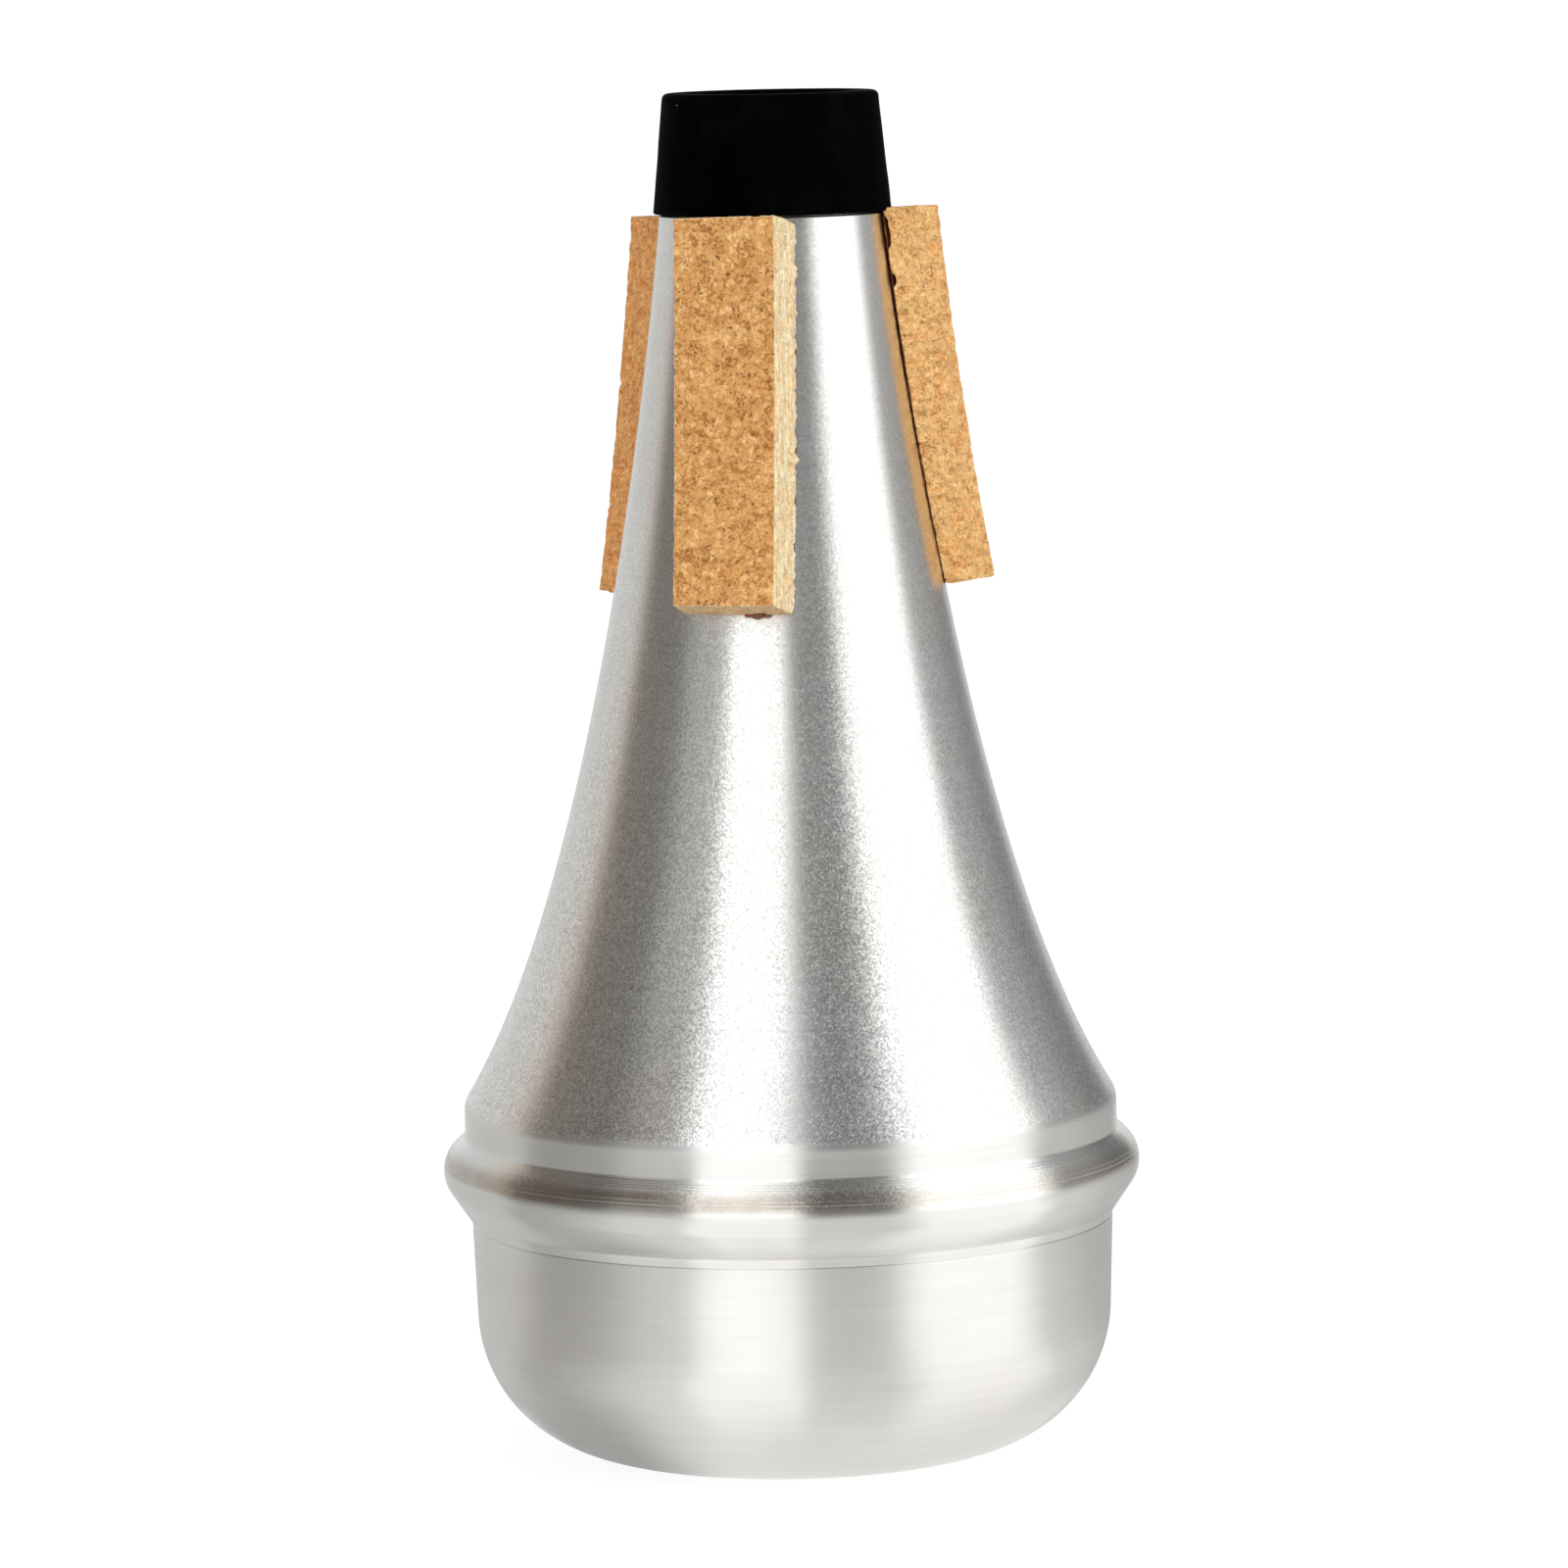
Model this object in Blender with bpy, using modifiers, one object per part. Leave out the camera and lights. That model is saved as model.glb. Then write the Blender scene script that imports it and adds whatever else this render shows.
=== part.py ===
"""Straight trumpet mute of spun aluminium, with cork strips and a rubber tip.

The mute stands on its closed base cup, with +Z up and the origin at the middle of the base.
Its small open end points up. Azimuth 0 is the side towards -Y, and it grows towards +X.
All sizes are in metres.
"""

import math
from collections import namedtuple

import bmesh
import bpy
from mathutils import Matrix, Vector

# Base cup: drawn aluminium, with a flat foot, a round corner and a straight wall
CUP_SHEET = 0.0009
CUP_WALL_RADIUS = 0.04145
CUP_WALL_HEIGHT = 0.0116
CUP_CORNER_RADIUS = 0.0184
CUP_DRAFT = math.radians(2.0)

# Rolled seam: the cone's skirt is rolled over the cup's curl, and its edge sits flush in the cup's wall
SEAM_GAP = 0.0003
SEAM_LIP_SHEET = 0.00055
SEAM_LIP_HEIGHT = 0.0004
BEAD_REACH = 0.00285
BEAD_NOSE_RADIUS = 0.0043
BEAD_UNDERSIDE_ANGLE = math.radians(34.5)
CREASE_RADIUS = 0.0005
CURL_ANGLE = math.radians(32)

# Cone: a band above the seam, a rounded shoulder and the flare, spun in one piece
CONE_SHEET = 0.0009
BAND_STEP = 0.0007
BAND_HEIGHT = 0.0033
SHOULDER_FILLET = 0.0035
FLARE_FOOT_ANGLE = math.radians(31.3)
FLARE_FOOT_REACH = 0.0330
FLARE_HEIGHT = 0.112995
FLARE_TOP_RADIUS = 0.01455
FLARE_TOP_ANGLE = math.radians(5.5)
FLARE_TOP_REACH = 0.0206

# Rubber tip: a tapered sleeve pushed over the neck, with a lip turned in over its rim
SLEEVE_HEIGHT = 0.0153
SLEEVE_WALL = 0.00115
SLEEVE_TAPER = math.radians(5.45)
SLEEVE_OVERHANG = 0.0007
SLEEVE_EDGE_RADIUS = 0.0009
SLEEVE_GAP = 0.0003
LIP_THICKNESS = 0.0018
MOUTH_RADIUS = 0.0108
MOUTH_EDGE_RADIUS = 0.0005

# Cork strips: flat outside, wider and hollowed to the cone behind, each glued on along the flare
CORK_THICKNESS = 0.0048
CORK_WIDTH = 0.0133
CORK_SIDE_ANGLE = math.radians(7.2)
CORK_SLEEVE_GAP = 0.0003
CORK_EDGE_BEVEL = 0.0003
GLUE_THICKNESS = 0.0003
GLUE_INSET = 0.0004
BOND_GAP = 0.0003

# Where each strip's top lies, measured down along the flare from its top, and its length
FRONT_CORK_TOP = 0.0
FRONT_CORK_LENGTH = 0.0494
RIGHT_CORK_TOP = -0.0004
RIGHT_CORK_LENGTH = 0.0488
LEFT_CORK_TOP = 0.0010
LEFT_CORK_LENGTH = 0.0499

# The swing carries a strip's foot towards +azimuth. The cut slants its foot, up towards the face
Strip = namedtuple("Strip", "azimuth swing foot_cut top length")
STRIPS = {
    "front": Strip(math.radians(-16.3), math.radians(1.2), math.radians(6),
                   FRONT_CORK_TOP, FRONT_CORK_LENGTH),
    "right": Strip(math.radians(101.8), math.radians(0.6), math.radians(-2),
                   RIGHT_CORK_TOP, RIGHT_CORK_LENGTH),
    "left": Strip(math.radians(-137.5), math.radians(0.9), math.radians(-6),
                  LEFT_CORK_TOP, LEFT_CORK_LENGTH),
}

# Fineness of the turned and curved faces
TURN_STEPS = 60
FLARE_STEPS = 13
CORNER_STEPS = 6
BEND_STEPS = 3
NOSE_STEPS = 6
CURL_STEPS = 4
CORK_STEPS = 9
GLUE_STEPS = 6
FLARE_WALK_STEPS = 200


def on_circle(centre, radius, angle):
    """Point of a circle in the (r, z) plane, where angle 0 points outwards and 90 degrees up."""
    return (centre[0] + radius * math.cos(angle), centre[1] + radius * math.sin(angle))


def arc(centre, radius, start, end, steps):
    """Points along an arc in the (r, z) plane, both ends included."""
    return [on_circle(centre, radius, start + (end - start) * i / steps) for i in range(steps + 1)]


OUT = 0.0
UP = math.radians(90)
IN = math.radians(180)
DOWN = math.radians(270)

# Heights and radii that follow from the sizes above, from the foot to the tip
CUP_CORNER_HEIGHT = CUP_CORNER_RADIUS
SEAM_EDGE_HEIGHT = CUP_CORNER_HEIGHT + CUP_WALL_HEIGHT
SEAM_LIP_TOP = SEAM_EDGE_HEIGHT + SEAM_LIP_HEIGHT
SEAM_LIP_INNER_RADIUS = CUP_WALL_RADIUS - SEAM_LIP_SHEET
LEDGE_HEIGHT = SEAM_EDGE_HEIGHT - SEAM_GAP
CURL_FOOT_RADIUS = SEAM_LIP_INNER_RADIUS - SEAM_GAP
CURL_RADIUS = BEAD_NOSE_RADIUS - CONE_SHEET - SEAM_GAP
BAND_RADIUS = CUP_WALL_RADIUS + BAND_STEP
BEAD_RADIUS = BAND_RADIUS + BEAD_REACH
NOSE_RADIUS = BEAD_RADIUS - BEAD_NOSE_RADIUS
UNDERSIDE_REACH = NOSE_RADIUS + BEAD_NOSE_RADIUS * math.cos(BEAD_UNDERSIDE_ANGLE) - CUP_WALL_RADIUS
UNDERSIDE_HEIGHT = UNDERSIDE_REACH / math.tan(BEAD_UNDERSIDE_ANGLE)
NOSE = (NOSE_RADIUS, SEAM_LIP_TOP + UNDERSIDE_HEIGHT + BEAD_NOSE_RADIUS * math.sin(BEAD_UNDERSIDE_ANGLE))
CREASE_ANGLE = math.acos((BAND_RADIUS + CREASE_RADIUS - NOSE_RADIUS) / (BEAD_NOSE_RADIUS + CREASE_RADIUS))
CREASE = on_circle(NOSE, BEAD_NOSE_RADIUS + CREASE_RADIUS, CREASE_ANGLE)
SHOULDER = (BAND_RADIUS - SHOULDER_FILLET, CREASE[1] + BAND_HEIGHT)
FLARE_FOOT = on_circle(SHOULDER, SHOULDER_FILLET, FLARE_FOOT_ANGLE)
FLARE_TOP = (FLARE_TOP_RADIUS, FLARE_FOOT[1] + FLARE_HEIGHT)
SLEEVE_FOOT = FLARE_TOP[1] + SLEEVE_GAP
SLEEVE_TOP = SLEEVE_FOOT + SLEEVE_HEIGHT
NECK_TOP = SLEEVE_TOP - LIP_THICKNESS - SLEEVE_GAP
CORK_BACK = GLUE_THICKNESS + 2 * BOND_GAP


def flare_point(t):
    """Point and outward normal on the flare's outer line, a cubic curve from its top to its foot."""
    top_handle = (FLARE_TOP[0] + FLARE_TOP_REACH * math.sin(FLARE_TOP_ANGLE),
                  FLARE_TOP[1] - FLARE_TOP_REACH * math.cos(FLARE_TOP_ANGLE))
    foot_handle = (FLARE_FOOT[0] - FLARE_FOOT_REACH * math.sin(FLARE_FOOT_ANGLE),
                   FLARE_FOOT[1] + FLARE_FOOT_REACH * math.cos(FLARE_FOOT_ANGLE))
    a, b, c, d = [Vector(p) for p in (FLARE_TOP, top_handle, foot_handle, FLARE_FOOT)]
    s = 1 - t
    place = s**3 * a + 3 * s * s * t * b + 3 * s * t * t * c + t**3 * d
    along = (s * s * (b - a) + 2 * s * t * (c - b) + t * t * (d - c)).normalized()
    return place, Vector((-along.y, along.x))


def flare_line(offset):
    """Points along the flare, at a distance outwards from its outer face."""
    line = []
    for i in range(FLARE_STEPS + 1):
        place, normal = flare_point(i / FLARE_STEPS)
        line.append(tuple(place + normal * offset))
    return line


def flare_place(length, offset):
    """Point at a length down the flare from its top, and at a distance outwards from its face.

    A length below zero runs straight on above the flare's top.
    """
    place, normal = flare_point(0.0)
    if length <= 0:
        along = Vector((normal.y, -normal.x))
        return place + along * length + normal * offset
    walked = 0.0
    before = place
    for i in range(1, FLARE_WALK_STEPS + 1):
        place, normal = flare_point(i / FLARE_WALK_STEPS)
        walked += (place - before).length
        if walked >= length:
            break
        before = place
    return place + (before - place).normalized() * (walked - length) + normal * offset


def sleeve_radius(height):
    """Outer radius of the tapered sleeve at a height."""
    return FLARE_TOP_RADIUS + SLEEVE_OVERHANG - (height - SLEEVE_FOOT) * math.tan(SLEEVE_TAPER)


def neck_radius(height):
    """Outer radius of the neck, which seats the sleeve, at a height."""
    return sleeve_radius(height) - SLEEVE_WALL - SLEEVE_GAP


def under_nose(radius, reach):
    """Point on the straight underside of a curl about the nose, where it comes down to a radius."""
    start = on_circle(NOSE, radius, -BEAD_UNDERSIDE_ANGLE)
    return (reach, start[1] - (start[0] - reach) / math.tan(BEAD_UNDERSIDE_ANGLE))


def cone_outline():
    """Closed wall of the cone: down its outer side from the neck's rim, then back up inside."""
    crease_end = IN + CREASE_ANGLE
    nose_inner_radius = BEAD_NOSE_RADIUS - CONE_SHEET
    shoulder_inner_radius = SHOULDER_FILLET - CONE_SHEET

    outer = [(neck_radius(NECK_TOP), NECK_TOP), (neck_radius(FLARE_TOP[1]), FLARE_TOP[1])]
    outer += flare_line(0.0)
    outer += arc(SHOULDER, SHOULDER_FILLET, FLARE_FOOT_ANGLE, OUT, BEND_STEPS)[1:]
    outer += arc(CREASE, CREASE_RADIUS, IN, crease_end, BEND_STEPS)
    outer += arc(NOSE, BEAD_NOSE_RADIUS, CREASE_ANGLE, -BEAD_UNDERSIDE_ANGLE, NOSE_STEPS)[1:]
    outer += [(CUP_WALL_RADIUS, SEAM_LIP_TOP), (CUP_WALL_RADIUS, SEAM_EDGE_HEIGHT)]

    inner = [(SEAM_LIP_INNER_RADIUS, SEAM_EDGE_HEIGHT), under_nose(nose_inner_radius, SEAM_LIP_INNER_RADIUS)]
    inner += arc(NOSE, nose_inner_radius, -BEAD_UNDERSIDE_ANGLE, CREASE_ANGLE, NOSE_STEPS)
    inner += arc(CREASE, CREASE_RADIUS + CONE_SHEET, crease_end, IN, BEND_STEPS)[1:]
    inner += arc(SHOULDER, shoulder_inner_radius, OUT, FLARE_FOOT_ANGLE, BEND_STEPS)[:-1]
    inner += flare_line(-CONE_SHEET)[::-1]
    inner += [(neck_radius(FLARE_TOP[1]) - CONE_SHEET, FLARE_TOP[1] + CONE_SHEET),
              (neck_radius(NECK_TOP) - CONE_SHEET, NECK_TOP)]
    return outer + inner


def cup_outline():
    """Wall of the cup, with both ends on the axis: out and up inside, round the curl and down."""
    corner_wall = CUP_CORNER_RADIUS * math.cos(CUP_DRAFT)
    drafted_height = LEDGE_HEIGHT - CUP_CORNER_HEIGHT + CUP_CORNER_RADIUS * math.sin(CUP_DRAFT)
    corner = (CUP_WALL_RADIUS - drafted_height * math.tan(CUP_DRAFT) - corner_wall, CUP_CORNER_HEIGHT)
    curl_inner_radius = CURL_RADIUS - CUP_SHEET
    foot_inner_radius = CURL_FOOT_RADIUS - CUP_SHEET
    joggle = CUP_WALL_RADIUS - CURL_FOOT_RADIUS
    tip = on_circle(NOSE, CURL_RADIUS - CUP_SHEET / 2, CURL_ANGLE)

    inner = [(0.0, CUP_SHEET)]
    inner += arc(corner, CUP_CORNER_RADIUS - CUP_SHEET, -UP, -CUP_DRAFT, CORNER_STEPS)
    inner += [(CUP_WALL_RADIUS - CUP_SHEET, LEDGE_HEIGHT - CUP_SHEET - joggle),
              (foot_inner_radius, LEDGE_HEIGHT - CUP_SHEET)]
    inner += [under_nose(curl_inner_radius, foot_inner_radius)]
    inner += arc(NOSE, curl_inner_radius, -BEAD_UNDERSIDE_ANGLE, CURL_ANGLE, CURL_STEPS)
    rim = arc(tip, CUP_SHEET / 2, IN + CURL_ANGLE, CURL_ANGLE, BEND_STEPS)[1:-1]
    outer = arc(NOSE, CURL_RADIUS, CURL_ANGLE, -BEAD_UNDERSIDE_ANGLE, CURL_STEPS)
    outer += [under_nose(CURL_RADIUS, CURL_FOOT_RADIUS)]
    outer += [(CURL_FOOT_RADIUS, LEDGE_HEIGHT), (CUP_WALL_RADIUS, LEDGE_HEIGHT)]
    outer += arc(corner, CUP_CORNER_RADIUS, -CUP_DRAFT, -UP, CORNER_STEPS)
    outer += [(0.0, 0.0)]
    return inner + rim + outer


def sleeve_outline():
    """Closed wall of the rubber tip, with its lip turned in over the neck's rim."""
    mouth_edge = (MOUTH_RADIUS + MOUTH_EDGE_RADIUS, SLEEVE_TOP - MOUTH_EDGE_RADIUS)
    edge_height = SLEEVE_TOP - SLEEVE_EDGE_RADIUS
    edge = (sleeve_radius(edge_height) - SLEEVE_EDGE_RADIUS / math.cos(SLEEVE_TAPER), edge_height)
    lip_under = SLEEVE_TOP - LIP_THICKNESS
    outline = arc(mouth_edge, MOUTH_EDGE_RADIUS, IN, UP, BEND_STEPS)
    outline += arc(edge, SLEEVE_EDGE_RADIUS, UP, SLEEVE_TAPER, BEND_STEPS)
    outline += [(sleeve_radius(SLEEVE_FOOT), SLEEVE_FOOT)]
    outline += [(sleeve_radius(SLEEVE_FOOT) - SLEEVE_WALL, SLEEVE_FOOT)]
    outline += [(sleeve_radius(lip_under) - SLEEVE_WALL, lip_under), (MOUTH_RADIUS, lip_under)]
    return outline


def make_material(name, colour, metallic, roughness):
    """Plain Principled material of one sub-part."""
    material = bpy.data.materials.new(name)
    material.use_nodes = True
    shader = material.node_tree.nodes["Principled BSDF"]
    shader.inputs["Base Color"].default_value = (*colour, 1.0)
    shader.inputs["Metallic"].default_value = metallic
    shader.inputs["Roughness"].default_value = roughness
    material.diffuse_color = (*colour, 1.0)
    return material


def add_object(name, mesh, collection, material=None):
    """Object that shows a mesh, linked into its collection."""
    item = bpy.data.objects.new(name, mesh)
    collection.objects.link(item)
    if material:
        mesh.materials.append(material)
    return item


def add_turned(name, outline, collection, material=None):
    """Outline in the XZ plane, turned round Z. One that starts on the axis is left open there."""
    points = [(r, 0.0, z) for r, z in outline]
    edges = [(i, i + 1) for i in range(len(points) - 1)]
    if outline[0][0] > 0:
        edges.append((len(points) - 1, 0))
    mesh = bpy.data.meshes.new(name)
    mesh.from_pydata(points, edges, [])
    item = add_object(name, mesh, collection, material)
    screw = item.modifiers.new("Turn", "SCREW")
    screw.steps = TURN_STEPS
    screw.render_steps = TURN_STEPS
    screw.use_merge_vertices = True
    screw.merge_threshold = 0.00001
    screw.use_smooth_shade = True
    return item


def middle_height(strip):
    """Height about which a strip swings."""
    return flare_place(strip.top + strip.length / 2, 0.0).y


def add_cone_cutter(collection):
    """Guide that hollows the strips: the flare, grown by the adhesive and its two gaps."""
    surface = flare_line(CORK_BACK)
    beside_sleeve = sleeve_radius(SLEEVE_FOOT) + CORK_SLEEVE_GAP
    surface[0] = (max(surface[0][0], beside_sleeve), surface[0][1])
    above = surface[0][1] + CORK_WIDTH
    core = MOUTH_RADIUS / 4
    outline = [(surface[0][0], above)] + surface + [(core, surface[-1][1]), (core, above)]
    cutter = add_turned("cone_cutter", outline, collection)
    cutter.hide_render = True
    cutter.display_type = "WIRE"
    return cutter


def cork_corner(strip, side, depth, share):
    """Place of a strip's corner: on a side (-1 or 1), below its face, at a share of its length."""
    length = strip.top + share * (strip.length + depth * math.tan(strip.foot_cut))
    r, z = flare_place(length, CORK_BACK + CORK_THICKNESS - depth)
    return Vector((side * (CORK_WIDTH / 2 + depth * math.tan(CORK_SIDE_ANGLE)), -r, z))


def add_cork(side, strip, cutter, collection, material):
    """Cork strip: a block cut into lengths, bent along the flare, then hollowed behind."""
    root_depth = CORK_THICKNESS + CORK_WIDTH / 3
    shape = bmesh.new()
    bmesh.ops.create_cube(shape, size=2.0)
    lengthwise = [e for e in shape.edges if abs(e.verts[0].co.z - e.verts[1].co.z) > 1]
    bmesh.ops.subdivide_edges(shape, edges=lengthwise, cuts=CORK_STEPS - 1)
    for vert in shape.verts:
        depth = root_depth if vert.co.y > 0 else 0.0
        vert.co = cork_corner(strip, vert.co.x, depth, (1 - vert.co.z) / 2)
    mesh = bpy.data.meshes.new("cork_strip_" + side)
    shape.to_mesh(mesh)
    shape.free()

    cork = add_object("cork_strip_" + side, mesh, collection, material)
    pivot = Matrix.Translation((0.0, 0.0, middle_height(strip)))
    lean = pivot @ Matrix.Rotation(-strip.swing, 4, "Y") @ pivot.inverted()
    cork.matrix_world = Matrix.Rotation(strip.azimuth, 4, "Z") @ lean
    worn = cork.modifiers.new("Worn edges", "BEVEL")
    worn.width = CORK_EDGE_BEVEL
    worn.segments = 1
    worn.limit_method = "ANGLE"
    worn.angle_limit = math.radians(60)
    hollow = cork.modifiers.new("Hollow back", "BOOLEAN")
    hollow.operation = "DIFFERENCE"
    hollow.solver = "EXACT"
    hollow.object = cutter
    return cork


def add_glue(side, strip, collection, material):
    """Film of adhesive behind a strip: a grid wrapped on the flare, then given its thickness."""
    top = max(strip.top, 0.0) + GLUE_INSET
    foot = strip.top + strip.length + CORK_THICKNESS * math.tan(strip.foot_cut) - GLUE_INSET
    half_width = CORK_WIDTH / 2 + CORK_THICKNESS * math.tan(CORK_SIDE_ANGLE) - GLUE_INSET
    pivot_height = middle_height(strip)
    shape = bmesh.new()
    bmesh.ops.create_grid(shape, x_segments=GLUE_STEPS, y_segments=CORK_STEPS, size=1.0)
    for vert in shape.verts:
        share = (1 - vert.co.y) / 2
        r, z = flare_place(top + share * (foot - top), BOND_GAP + GLUE_THICKNESS / 2)
        across = vert.co.x * half_width + (pivot_height - z) * math.tan(strip.swing)
        vert.co = (across, -math.sqrt(r * r - across * across), z)
    mesh = bpy.data.meshes.new("glue_film_" + side)
    shape.to_mesh(mesh)
    shape.free()

    film = add_object("glue_film_" + side, mesh, collection, material)
    film.matrix_world = Matrix.Rotation(strip.azimuth, 4, "Z")
    thickness = film.modifiers.new("Film thickness", "SOLIDIFY")
    thickness.thickness = GLUE_THICKNESS
    thickness.offset = 0.0
    return film


def add_collection(name):
    """Collection linked to the scene."""
    collection = bpy.data.collections.new(name)
    bpy.context.scene.collection.children.link(collection)
    return collection


def main():
    """Model the mute, piece by piece, from the cup to the corks."""
    for item in list(bpy.data.objects):
        bpy.data.objects.remove(item, do_unlink=True)
    parts = add_collection("trumpet_mute")
    cutters = add_collection("cutters")

    spun = make_material("spun_aluminium", (0.80, 0.80, 0.79), 1.0, 0.32)
    drawn = make_material("drawn_aluminium", (0.82, 0.82, 0.81), 1.0, 0.36)
    rubber = make_material("black_rubber", (0.012, 0.012, 0.013), 0.0, 0.75)
    cork = make_material("pressed_cork", (0.62, 0.36, 0.15), 0.0, 0.9)
    adhesive = make_material("contact_adhesive", (0.22, 0.14, 0.07), 0.0, 0.5)

    add_turned("base_cup", cup_outline(), parts, drawn)
    add_turned("cone_shell", cone_outline(), parts, spun)
    add_turned("rubber_tip", sleeve_outline(), parts, rubber)
    cutter = add_cone_cutter(cutters)
    for side, strip in STRIPS.items():
        add_glue(side, strip, parts, adhesive)
        add_cork(side, strip, cutter, parts, cork)


main()
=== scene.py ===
"""Straight trumpet mute: spun aluminium body, drawn cup, rubber tip and three glued cork strips.

The file is laid out as an add-on: its sidebar panel lists every piece with the sizes behind it.
Everything is in metres. The mute stands on its cup with +Z up, and -Y faces the camera.
Azimuth 0 is the side towards the camera, and it grows towards +X.
"""

import bisect
import math

import bmesh
import bpy
from bpy.props import FloatProperty, FloatVectorProperty, PointerProperty
from mathutils import Matrix, Vector, noise
from mathutils.geometry import interpolate_bezier


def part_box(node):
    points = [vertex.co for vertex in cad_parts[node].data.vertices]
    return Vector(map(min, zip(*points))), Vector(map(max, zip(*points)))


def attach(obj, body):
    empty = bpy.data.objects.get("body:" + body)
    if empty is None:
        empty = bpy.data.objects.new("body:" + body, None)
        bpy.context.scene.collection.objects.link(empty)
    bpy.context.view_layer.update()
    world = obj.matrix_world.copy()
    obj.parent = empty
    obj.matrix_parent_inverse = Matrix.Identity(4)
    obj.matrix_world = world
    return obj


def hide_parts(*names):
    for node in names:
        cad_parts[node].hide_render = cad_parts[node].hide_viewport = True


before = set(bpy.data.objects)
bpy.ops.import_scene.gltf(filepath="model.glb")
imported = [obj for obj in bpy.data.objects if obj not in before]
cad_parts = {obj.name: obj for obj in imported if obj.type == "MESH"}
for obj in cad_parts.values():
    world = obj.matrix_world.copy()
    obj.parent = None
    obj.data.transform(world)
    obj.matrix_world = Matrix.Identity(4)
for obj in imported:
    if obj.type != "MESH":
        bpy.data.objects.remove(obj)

bl_info = {
    "name": "Trumpet straight mute",
    "version": (1, 0, 0),
    "blender": (4, 5, 0),
    "location": "View3D > Sidebar > Mute",
    "description": "Builds a spun aluminium straight mute with cork strips and a rubber tip",
    "category": "Object",
}

BODY = "root"
WELD = 0.000001
SHARP_ANGLE = math.radians(38)
SPUN_STEPS = 256
SLEEVE_STEPS = 192
SLEEVE_RINGS = 24
FLARE_SAMPLES = 801
SHEET_BEVEL = 0.00004
SCORE_ANGLES = (59.0, 52.0, 27.0, 19.6)
HALF = (0.5, 0.5, 0.5)
CONE_LOW, CONE_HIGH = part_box("cone_shell")
TIP_LOW, TIP_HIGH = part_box("rubber_tip")


# Sizes and colours that a user would change

def length(name, default, text):
    """Length property, in metres."""
    return FloatProperty(name=name, description=text, default=default, unit="LENGTH", precision=5)


def angle(name, degrees, text):
    """Angle property, given in degrees."""
    return FloatProperty(name=name, description=text, default=math.radians(degrees), unit="ROTATION")


def share(name, default, text):
    """Number between 0 and 1."""
    return FloatProperty(name=name, description=text, default=default, min=0.0, max=1.0)


def colour(name, default, text):
    """Linear colour property."""
    return FloatVectorProperty(name=name, description=text, default=default, subtype="COLOR",
                               size=3, min=0.0, max=1.0)


class MuteBodySizes(bpy.types.PropertyGroup):
    """Spun body, from its rolled seam to its neck."""
    sheet: length("Sheet", 0.0009, "Thickness of the spun sheet")
    lip_sheet: length("Lip sheet", 0.00055, "Thickness of the sheet where it is rolled onto the cup")
    seam_height: length("Seam height", CONE_LOW.z, "Height of the rolled sheet's lower edge")
    lip_height: length("Lip height", 0.0004, "Upright part of the rolled sheet, above its edge")
    wall_radius: length("Wall radius", 0.04145, "Radius of the cup's wall and of the rolled lip")
    band_radius: length("Band radius", 0.04215, "Radius of the band above the bead")
    bead_radius: length("Bead radius", CONE_HIGH.x, "Radius of the bead at its widest")
    nose_radius: length("Nose radius", 0.0043, "Roundness of the bead")
    underside: angle("Underside", 34.5, "Slope of the bead's underside from the vertical")
    crease_radius: length("Crease radius", 0.0008, "Hollow between the bead and the band")
    band_height: length("Band height", 0.003109, "Height of the band between the crease and the shoulder")
    shoulder_radius: length("Shoulder radius", 0.0035, "Roundness of the shoulder")
    flare_foot_angle: angle("Flare foot angle", 31.3, "Slope of the flare where it meets the shoulder")
    flare_foot_reach: length("Flare foot reach", 0.033, "Reach of the curve's lower handle")
    flare_top: length("Flare top", 0.1594, "Height at which the flare meets the rubber tip")
    flare_top_radius: length("Flare top radius", 0.01455, "Radius of the flare's small end")
    flare_top_angle: angle("Flare top angle", 5.5, "Slope of the flare at its small end")
    flare_top_reach: length("Flare top reach", 0.0206, "Reach of the curve's upper handle")
    neck_radius: length("Neck radius", 0.01365, "Outer radius of the neck inside the rubber tip")
    neck_taper: angle("Neck taper", 5.45, "Taper of the neck")
    score_depth: length("Score depth", 0.00004, "Depth of the fine lines cut into the bead")
    score_width: length("Score width", 0.00018, "Width of the fine lines cut into the bead")
    metal: colour("Aluminium", (0.79, 0.784, 0.758), "Colour of the spun aluminium")
    roughness: share("Roughness", 0.30, "Roughness of the spun aluminium")


class MuteCupSizes(bpy.types.PropertyGroup):
    """Drawn cup that closes the wide end."""
    sheet: length("Sheet", 0.0009, "Thickness of the drawn sheet")
    corner: length("Corner radius", 0.0184, "Radius of the round corner at the foot")
    draft: angle("Draft", 2.0, "Lean of the wall")
    seam_gap: length("Seam gap", 0.000014, "Fine gap left along the rolled seam")
    curl_gap: length("Curl gap", 0.0003, "Gap between the cup's curl and the rolled sheet")
    curl_angle: angle("Curl angle", 32, "How far the curl goes up inside the bead")
    metal: colour("Aluminium", (0.81, 0.802, 0.775), "Colour of the drawn aluminium")
    roughness: share("Roughness", 0.34, "Roughness of the drawn aluminium")


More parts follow.
